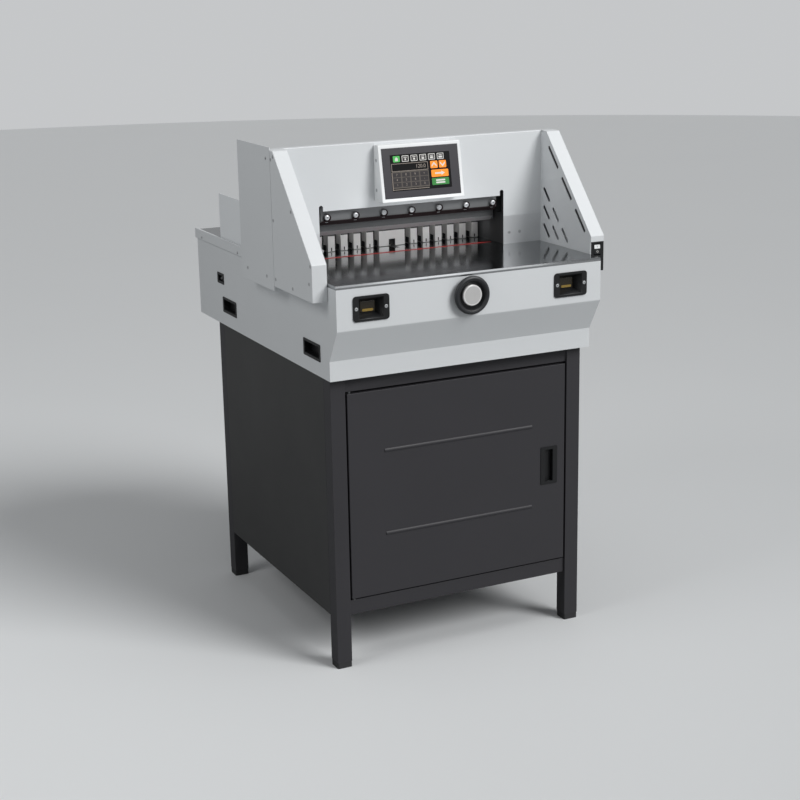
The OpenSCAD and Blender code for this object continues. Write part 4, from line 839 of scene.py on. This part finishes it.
def pale_surroundings():
    """A plain pale world: one level for the camera, one for reflections and one for its light."""
    world = bpy.data.worlds.new("pale_surroundings")
    world.use_nodes = True
    tree = world.node_tree
    tree.nodes.clear()
    ray = add(tree, "ShaderNodeLightPath").outputs
    level = add(tree, "ShaderNodeMapRange", {"Value": ray["Is Diffuse Ray"], "To Min": studio().backdrop,
                                             "To Max": studio().sky_strength})
    seen = add(tree, "ShaderNodeMapRange", {"Value": ray["Is Camera Ray"], "To Min": level.outputs[0],
                                            "To Max": studio().horizon})
    sky = add(tree, "ShaderNodeBackground", {"Color": studio().sky, "Strength": seen.outputs[0]})
    add(tree, "ShaderNodeOutputWorld", {"Surface": sky.outputs[0]})
    return world


def floor_disc(radius, segments):
    """The round studio floor."""
    work = bmesh.new()
    bmesh.ops.create_circle(work, cap_ends=True, segments=segments, radius=radius)
    mesh = bpy.data.meshes.new("studio_floor")
    work.to_mesh(mesh)
    work.free()
    mesh.materials.append(made(studio_floor_paint))
    return shown("studio_floor", mesh)


def aimed(light, place, target):
    """A light's object, put at a place and turned to a target."""
    obj = shown(light.name, light)
    obj.location = place
    obj.rotation_euler = (Vector(target) - obj.location).to_track_quat("-Z", "Y").to_euler()
    return obj


def sun(name, energy, spread, place, target):
    """A sun as wide as an angle."""
    light = bpy.data.lights.new(name, "SUN")
    light.energy = energy
    light.angle = spread
    return aimed(light, place, target)


def softbox(name, energy, wide, place, target):
    """A square soft light."""
    light = bpy.data.lights.new(name, "AREA")
    light.energy = energy
    light.size = wide
    return aimed(light, place, target)


def strip_light(name, energy, wide, place, target):
    """A thin strip light that isn't seen itself, neither straight on nor in a mirror."""
    obj = softbox(name, energy, wide, place, target)
    obj.data.shape = "RECTANGLE"
    obj.data.size_y = 10 * MM
    obj.visible_camera = False
    obj.visible_glossy = False
    return obj


def photo_camera():
    """The photograph's camera."""
    lens = bpy.data.cameras.new("photo_camera")
    lens.lens = studio().lens
    lens.sensor_width = 36
    camera = shown("photo_camera", lens)
    yaw, pitch, roll = studio().yaw, studio().pitch, studio().roll
    look = Vector((math.sin(yaw) * math.cos(pitch), math.cos(yaw) * math.cos(pitch), -math.sin(pitch)))
    across = Vector((math.cos(yaw), -math.sin(yaw), 0))
    turn = Matrix((across, across.cross(look), -look)).transposed() @ Matrix.Rotation(roll, 3, "Z")
    camera.matrix_world = Matrix.Translation(studio().eye) @ turn.to_4x4()
    return camera


# Operators

class CUTTER_OT_machine(Operator):
    """Gives every part of the machine its finish"""
    bl_idname = "cutter.machine"
    bl_label = "Machine parts"

    def execute(self, context):
        for node, obj in NODES.items():
            obj.data.materials.clear()
            obj.data.materials.append(finish_of(node))
        return {"FINISHED"}


class CUTTER_OT_covers(Operator):
    """Rounds the folds of the painted sheet covers and opens the seam behind each wing"""
    bl_idname = "cutter.covers"
    bl_label = "Sheet covers"

    def execute(self, context):
        for node in ("front_panel", "left_body_panel", "right_body_panel", "rear_body_panel", "front_sheet",
                     "left_wing_shell", "right_wing_shell", "wing_plates", "drive_housing",
                     "right_rear_cover", "head_cover", "rear_side_guides", "rear_table_strips"):
            cover = softened(node, sizes().fold_radius)
            if node.endswith("wing_shell"):
                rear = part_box(node)[1].y
                for vertex in cover.data.vertices:
                    if vertex.co.y > rear - MERGE:
                        vertex.co.y -= sizes().seam
        return {"FINISHED"}


class CUTTER_OT_stand(Operator):
    """Rounds the tubes, panels and door of the stand"""
    bl_idname = "cutter.stand"
    bl_label = "Cabinet stand"

    def execute(self, context):
        softened("stand_frame", sizes().tube_radius)
        for node in ("stand_side_panels", "stand_back_panel", "cabinet_door", "foot_caps"):
            softened(node, sizes().fold_radius)
        return {"FINISHED"}


class CUTTER_OT_table(Operator):
    """Eases the edges of the table, its stick and the plates beside the throat"""
    bl_idname = "cutter.table"
    bl_label = "Table"

    def execute(self, context):
        for node in ("table_plate", "cutting_stick", "splash_plates"):
            softened(node, 2 * sizes().edge_ease)
        return {"FINISHED"}


class CUTTER_OT_mouldings(Operator):
    """Rounds the moulded parts and puts pins in the inlet and marks on the switch"""
    bl_idname = "cutter.mouldings"
    bl_label = "Mouldings"

    def execute(self, context):
        for node in ("door_pull", "carry_handles", "power_inlet", "button_bezels", "switch_box",
                     "main_switch", "handwheel"):
            softened(node, sizes().mould_radius)
        place, wide, tall = front_face("main_switch")
        half_middle, mark_height = 0.25 * tall, 0.28 * tall
        pad_rise, mark_rise = 0.4 * MM, 0.15 * MM
        tabs("switch_pad", white_moulded_abs, "switch", "white_plastic", [((0, half_middle, 0), OUT)],
             size=(0.9 * wide, 0.38 * tall), corner=1.2 * MM, rise=pad_rise, place=place)
        for name, mark, maker, slot, up, lift in (
                ("switch_on_mark", "I", black_moulded_abs, "black_plastic", half_middle, pad_rise),
                ("switch_off_mark", "O", lit_grey, "white_plastic", -half_middle, 0.0)):
            mesh = lettering(((mark, 0, up),), mark_height, mark_rise)
            mesh.transform(place @ Matrix.Translation((0, 0, lift)))
            piece(name, mesh, maker, "switch")
        low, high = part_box("power_inlet")
        middle = (low + high) / 2
        pin_sink, pin_step, pin_stagger = 1 * MM, 7 * MM, 2 * MM
        pins = [((high.x - pin_sink, middle.y + k * pin_step, middle.z + stagger), LEFT)
                for k, stagger in ((-1, -pin_stagger), (0, pin_stagger), (1, -pin_stagger))]
        tabs("inlet_pins", zinc_plated_steel, "frame", "bright_steel", pins, size=(5 * MM, 2 * MM),
             corner=0.4 * MM, rise=12 * MM)
        return {"FINISHED"}


class CUTTER_OT_display(Operator):
    """Builds the lit display and its keys on the tilted control box"""
    bl_idname = "cutter.display"
    bl_label = "Display"

    def execute(self, context):
        softened("control_box", sizes().fold_radius)
        softened("touch_panel", sizes().edge_ease)
        place = front_face("touch_panel")[0]
        rise = sizes().key_rise
        # Levels and thicknesses over the panel, in key rises
        glass, key_top, ground, sign, mark = 1, 2, 0.2, 0.3, 0.4
        # Sizes, and places to the right of and below the window's upper left corner, in millimetres
        window, window_shift = (169, 91.6), (-1.5, 0.3)
        corner = Vector((window_shift[0] - window[0] / 2, window_shift[1] + window[1] / 2)) * MM
        icons = [(17.7 + 24.9 * k, 11) for k in range(6)]
        icon, icon_ground = (19, 15.5), (16, 12.5)
        pads = [(15 + 25.7 * i, 51 + 12.6 * j) for j in range(3) for i in range(4)]
        pad, keypad, keypad_at = (22, 10.6), (104, 42), (53.5, 64)
        arrow, arrow_up_at, arrow_down_at = (20.5, 18.4), (122.3, 31.3), (146.9, 31.3)
        run, run_at = (48.6, 18.4), (137.3, 53.8)
        start, start_at, start_bar, start_gap = (48.6, 17.6), (137.3, 74.5), (26, 4), 3
        field_frame, field, field_at, reading_at = (103, 20), (100.4, 17.4), (53.5, 32.4), (84, 32.4)
        border_side, border_side_at = (1.4, 46), (1.8, 67)
        border_foot, border_foot_at = (102, 1.4), (53.5, 88)
        icon_bar, icon_bar_down = (9, 1.6), 8
        icon_sign_width, icon_sign_growth, icon_sign_height, icon_sign_down = 4, 1.6, 4.6, 13
        key_corner, pad_corner, digit_height, reading_height = 2, 1.2, 8, 13

        def at(right, down):
            return corner.x + right * MM, corner.y - down * MM

        def plate(size, spot, radius):
            return rounded(size[0] * MM, size[1] * MM, radius * MM, at(*spot))

        def drawn(points, spot):
            x, y = at(*spot)
            return [(x + across * MM, y + up * MM) for across, up in points]

        def flat(name, maker, outlines, level, thick):
            mesh = slabs(outlines, level * rise, (level + thick) * rise)
            mesh.transform(place)
            piece(name, mesh, maker, "frame")

        def keys(name, maker, spots, size, radius):
            tabs(name, maker, "frame", "screen_plastic", [((*at(*spot), rise), OUT) for spot in spots],
                 size=(size[0] * MM, size[1] * MM), corner=radius * MM, rise=rise, place=place)

        def written(name, lines, height, level, thick):
            mesh = lettering([(text, *at(*spot)) for text, spot in lines], height * MM, thick * rise)
            mesh.transform(place @ Matrix.Translation((0, 0, level * rise)))
            piece(name, mesh, lit_brown, "frame")

        window_at = (window[0] / 2, window[1] / 2)
        flat("display_window", display_glass, [plate(window, window_at, radius=1.5)], level=0, thick=glass)
        keys("display_home_icon", lit_green, icons[:1], icon, key_corner)
        keys("display_icons", lit_grey, icons[1:], icon, key_corner)
        flat("display_icon_grounds", lit_dark, [plate(icon_ground, spot, radius=1.2) for spot in icons[1:]],
             key_top, ground)
        flat("display_keypad_ground", lit_umber, [plate(keypad, keypad_at, radius=1)], glass, sign)
        keys("display_number_keys", lit_dark, pads, pad, pad_corner)
        keys("display_arrow_keys", lit_orange, [arrow_up_at, arrow_down_at], arrow, key_corner)
        keys("display_run_key", lit_orange, [run_at], run, key_corner)
        keys("display_start_key", lit_deep_green, [start_at], start, key_corner)
        keys("display_field_frame", lit_brown, [field_at], field_frame, radius=1.5)
        flat("display_field", display_glass, [plate(field, field_at, radius=1)], key_top, mark)
        flat("display_border", lit_brown, [plate(border_side, border_side_at, radius=0.5),
                                           plate(border_foot, border_foot_at, radius=0.5)], glass, thick=1)
        written("display_digits", zip("789+456-1230", pads), digit_height, key_top, mark)
        written("display_reading", [("120.0", reading_at)], reading_height, key_top + mark, ground)
        peak = ((-7, -1.5), (0, 6.5), (7, -1.5), (7, -6), (0, 1.5), (-7, -6))
        dip = [(across, -up) for across, up in peak]
        flat("display_chevrons", lit_grey, [drawn(peak[::-1], arrow_up_at), drawn(dip, arrow_down_at)],
             key_top, mark)
        pointer = ((-14, -2), (4, -2), (4, -5.5), (14, 0), (4, 5.5), (4, 2), (-14, 2))
        flat("display_run_mark", lit_grey, [drawn(pointer, run_at)], key_top, mark)
        bars = [(start_at[0], start_at[1] + side * start_gap) for side in (-1, 1)]
        flat("display_start_mark", lit_grey, [plate(start_bar, spot, radius=1) for spot in bars],
             key_top, mark)
        signs = [plate(icon_bar, (x, icon_bar_down), radius=0.4) for x, _ in icons[1:]]
        signs += [plate((icon_sign_width + icon_sign_growth * k, icon_sign_height), (x, icon_sign_down),
                        radius=0.8) for k, (x, _) in enumerate(icons[1:])]
        flat("display_icon_marks", lit_grey, signs, key_top + ground, sign)
        house = ((-4, -5), (4, -5), (4, 1), (0, 5), (-4, 1))
        flat("display_home_mark", lit_grey, [drawn(house, icons[0])], key_top, mark)
        return {"FINISHED"}


class CUTTER_OT_cut_buttons(Operator):
    """Puts an amber strip, painted light where the light reaches the amber face, on each of the two cut
    buttons
    """
    bl_idname = "cutter.cut_buttons"
    bl_label = "Cut buttons"

    def execute(self, context):
        strip_up = 5.5 * MM
        for side in ("left", "right"):
            node = f"{side}_cut_button"
            softened(node, sizes().mould_radius)
            low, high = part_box(node)
            lens = Vector(((low.x + high.x) / 2, low.y, low.z + strip_up))
            tabs(f"{side}_button_lens", amber_strip_painted_light, f"{side}_button", "amber_plastic", [(lens, FRONT)],
                 size=(29 * MM, 6 * MM), corner=2.6 * MM, rise=0.8 * MM)
        return {"FINISHED"}


class CUTTER_OT_knife(Operator):
    """Finishes the blade, its carrier and its row of bolts, with painted shadows round the bolts and a band
    of painted shade under them
    """
    bl_idname = "cutter.knife"
    bl_label = "Knife"

    def execute(self, context):
        bolt_low, bolt_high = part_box("blade_bolts")
        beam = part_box("knife_beam")[0]
        blade, blade_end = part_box("knife_blade")
        underside, seat_depth, bevel_slope = 1 * MM, 18 * MM, -0.2

        # The carrier's underside and the set-back faces of its seat wear the dark red lacquer, which there
        # also paints the shade under the carrier.
        def seat(face):
            spot = face.calc_center_median()
            return (spot.z < beam.z + underside
                    or face.normal.y < LOOKS_FORWARD and spot.y > blade.y - seat_depth)

        # Faces that look down form the bevel, which wears the paler steel: partly its grinding, partly a
        # painted highlight.
        def bevel(face):
            return face.normal.z < bevel_slope

        softened("knife_beam", sizes().mould_radius, (blade_seat_paint, seat))
        softened("knife_blade", sizes().edge_ease, (ground_blade_steel, bevel))
        radius = (bolt_high.z - bolt_low.z) / 2
        line = (bolt_low.z + bolt_high.z) / 2
        count = sizes().bolts
        step = (bolt_high.x - bolt_low.x - 2 * radius) / (count - 1)
        row = [bolt_low.x + radius + step * k for k in range(count)]
        # The bolt heads wear zinc painted paler: painted light.
        bolts = grown("blade_bolt_heads", bright_zinc, "knife", "bright_steel", head_tree,
                      [((x, beam.y, line), FRONT) for x in row], Head_radius=radius,
                      Head_rise=sizes().bolt_rise, Dome=1.3, Hexagon=True, Spin=FULL_TURN)
        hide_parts("blade_bolts")
        # Dark patches round each bolt head, shifted right and down: painted shadow of the head in its slot.
        shadow_right, shadow_drop = 2.5 * MM, 1.5 * MM
        slots = [((x + shadow_right, beam.y, line - shadow_drop), FRONT) for x in row]
        tabs("blade_bolt_slots", blade_seat_paint, "knife", "bright_steel", slots,
             size=(20 * MM, 19 * MM), corner=9.4 * MM, rise=FILM)
        tab_right, tab_proud, tab_up = 5 * MM, 14 * MM, 8 * MM
        ends = [((x + tab_right, blade.y - tab_proud, beam.z + tab_up), FRONT) for x in row]
        tabs("blade_bolt_tabs", zinc_plated_steel, "knife", "bright_steel", ends,
             size=(8 * MM, 2.4 * MM), corner=0.8 * MM, rise=1 * MM)
        # A thin dark band along the lower edge of the carrier's face: painted shade, widening the dark strip
        # under the carrier.
        edge_drop, edge_margin = 10.6 * MM, 1 * MM
        edge = ((blade.x + blade_end.x) / 2, beam.y, line - edge_drop)
        tabs("blade_seat_edge", blade_seat_paint, "knife", "bright_steel", [(edge, FRONT)],
             size=(blade_end.x - blade.x - 2 * edge_margin, 2.8 * MM), corner=0.5 * MM, rise=FILM)
        return {"FINISHED"}


class CUTTER_OT_gauge(Operator):
    """Finishes the back gauge: bright bars with painted shade on their tops and feet and on the plate between
    them
    """
    bl_idname = "cutter.gauge"
    bl_label = "Back gauge"

    def execute(self, context):
        low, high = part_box("back_gauge")
        middle, front, foot = (low.x + high.x) / 2, low.y, low.z
        skin, window = 1 * MM, 12 * MM
        finger_first, finger_step, finger_count = 65 * MM, 37 * MM, 6
        finger_half, hub_half, bright_height = 10 * MM, 38 * MM, 41 * MM
        mark_up, foot_shade_in, foot_shade_up = 5.5 * MM, 19 * MM, 8 * MM

        # Faces set back from the bars' fronts, and the faces of the hub's window, wear painted shade.
        def deep(face):
            spot = face.calc_center_median()
            if spot.y < front + skin or spot.y > high.y - skin:
                return False
            in_window = abs(spot.x - middle) < window and spot.y < front + 2 * window
            return face.normal.y < LOOKS_FORWARD or in_window

        softened("back_gauge", sizes().edge_ease, (dark_anodised_aluminium, deep))
        fingers = [middle + side * (finger_first + finger_step * k)
                   for side in (-1, 1) for k in range(finger_count)]
        # Black marks at the feet of the bars: painted shade of the openings under the gauge.
        tabs("gauge_foot_marks", black_moulded_abs, "gauge", "black_plastic",
             [((x, front, foot + mark_up), FRONT) for x in fingers], size=(3 * MM, 9 * MM), corner=1 * MM,
             rise=FILM)
        # The bars' tops above the bright height are painted dark: painted shade under the knife.
        tip = high.z - foot - bright_height
        for name, row, half in (("gauge_finger_tips", fingers, finger_half),
                                ("gauge_hub_tip", [middle], hub_half)):
            tabs(name, dark_anodised_aluminium, "gauge", "gauge_aluminium",
                 [((x, front, high.z - tip / 2), FRONT) for x in row], size=(2 * half, tip),
                 corner=0.5 * MM, rise=FILM)
        flanks = [(x, finger_half) for x in fingers] + [(middle, hub_half)]
        # Black patches on the sides of the bars at their feet: painted shade.
        tabs("gauge_foot_slots", black_moulded_abs, "gauge", "black_plastic",
             [((x + way.x * half, front + foot_shade_in, foot + foot_shade_up), way)
              for x, half in flanks for way in (LEFT, RIGHT)],
             size=(15 * MM, 18 * MM), corner=1 * MM, rise=FILM)
        return {"FINISHED"}


class CUTTER_OT_cover_screws(Operator):
    """Grows the cross-recessed screws of the covers"""
    bl_idname = "cutter.cover_screws"
    bl_label = "Cover screws"

    def execute(self, context):
        # Places in millimetres: Y and Z on the sides, X and Z on the fronts and rears
        wing_places = ((-162, 1277), (-195, 1277), (-210, 1285), (-198, 1128), (-314, 1164), (-8, 980),
                       (-141, 980), (-200, 981), (-310, 976), (-413, 1005), (-423, 1049))
        strip_places = ((156, 990), (441, 990))
        bezel_places = ((238, 947), (316.5, 947))
        splash_places = ((271, 1036), (303, 1036))
        box_levels, box_in = (1180, 1255), 14
        rear_places = {"rear_body_panel": ((-345, 0, 345), (784, 980)),
                       "head_cover": ((-295, 0, 295), (1124, 1236)),
                       "stand_back_panel": ((-302, 0, 302), (156, 744))}
        spots = []
        for node, places in (("right_wing_shell", wing_places), ("rear_table_strips", strip_places)):
            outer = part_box(node)[1].x
            spots += [((way.x * outer, y * MM, z * MM), way) for y, z in places for way in (LEFT, RIGHT)]
        for side in (-1, 1):
            for node, places in (("button_bezels", bezel_places), ("splash_plates", splash_places)):
                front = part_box(node)[0].y
                spots += [((side * x * MM, front, z * MM), FRONT) for x, z in places]
        low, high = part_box("control_box")
        for x, way in ((low.x, LEFT), (high.x, RIGHT)):
            spots += [((x, high.y - box_in * MM, z * MM), way) for z in box_levels]
        for node, (across, levels) in rear_places.items():
            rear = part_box(node)[1].y
            spots += [((x * MM, rear, z * MM), REAR) for x in across for z in levels]
        grown("cover_screws", zinc_plated_steel, "frame", "bright_steel", head_tree, spots,
              Head_radius=sizes().screw_radius, Head_rise=sizes().screw_rise, Dome=1.05, Hexagon=False,
              Spin=FULL_TURN)
        return {"FINISHED"}


class CUTTER_OT_studio(Operator):
    """Sets the floor, the soft lights and the camera"""
    bl_idname = "cutter.studio"
    bl_label = "Studio"

    def execute(self, context):
        scene = context.scene
        scene.view_settings.view_transform = "Standard"
        scene.world = pale_surroundings()
        floor = floor_disc(radius=14, segments=96)
        machine, head = (0, -0.2, 0.9), (0, -0.2, 1.15)
        gauge_low, gauge_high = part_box("back_gauge")
        bolt_low, bolt_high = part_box("blade_bolts")
        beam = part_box("knife_beam")[0].y
        throat = (gauge_low.x + gauge_high.x) / 2
        bolt_line = (bolt_low.z + bolt_high.z) / 2
        gauge_gap, gauge_lamp_drop, gauge_aim = 50 * MM, 8 * MM, 13 * MM
        bolt_gap, bolt_lamp_drop = 140 * MM, 18 * MM
        lamps = (
            sun("key_light", studio().key_strength, spread=math.radians(28), place=(2.25, -3.8, 3.85),
                target=machine),
            softbox("top_softbox", studio().top_power, wide=2.6, place=(0.2, -0.9, 4.2), target=machine),
            softbox("fill_softbox", studio().fill_power, wide=1.5, place=(-3.0, -0.5, 3.0), target=machine),
            softbox("front_softbox", studio().front_power, wide=0.8, place=(0.5, -0.95, 1.95), target=head),
            strip_light("throat_light", studio().throat_power, wide=0.5,
                        place=(throat, gauge_low.y - gauge_gap, gauge_high.z - gauge_lamp_drop),
                        target=(throat, gauge_low.y, gauge_low.z + gauge_aim)),
            strip_light("knife_light", studio().knife_power, wide=0.26,
                        place=(throat, beam - bolt_gap, bolt_line - bolt_lamp_drop),
                        target=(throat, beam, bolt_line)),
        )
        camera = photo_camera()
        scene.camera = camera
        return {"FINISHED"}


class CUTTER_PT_panel(Panel):
    """Lists the steps that dress the cutter"""
    bl_label = "Paper cutter"
    bl_idname = "CUTTER_PT_panel"
    bl_space_type = "VIEW_3D"
    bl_region_type = "UI"
    bl_category = "Cutter"

    def draw(self, context):
        for step in OPERATORS:
            self.layout.operator(step.bl_idname)


SETTINGS = {"cutter_sizes": CutterSizes, "cutter_finishes": CutterFinishes, "cutter_studio": CutterStudio}
OPERATORS = (CUTTER_OT_machine, CUTTER_OT_covers, CUTTER_OT_stand, CUTTER_OT_table, CUTTER_OT_mouldings,
             CUTTER_OT_display, CUTTER_OT_cut_buttons, CUTTER_OT_knife, CUTTER_OT_gauge,
             CUTTER_OT_cover_screws, CUTTER_OT_studio)


def register():
    for item in (*SETTINGS.values(), *OPERATORS, CUTTER_PT_panel):
        bpy.utils.register_class(item)
    for name, group in SETTINGS.items():
        setattr(bpy.types.Scene, name, PointerProperty(type=group))


def unregister():
    for name in SETTINGS:
        delattr(bpy.types.Scene, name)
    for item in reversed((*SETTINGS.values(), *OPERATORS, CUTTER_PT_panel)):
        bpy.utils.unregister_class(item)


def main():
    """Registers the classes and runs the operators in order."""
    register()
    for step in OPERATORS:
        group, name = step.bl_idname.split(".")
        getattr(getattr(bpy.ops, group), name)()


if __name__ == "__main__":
    main()
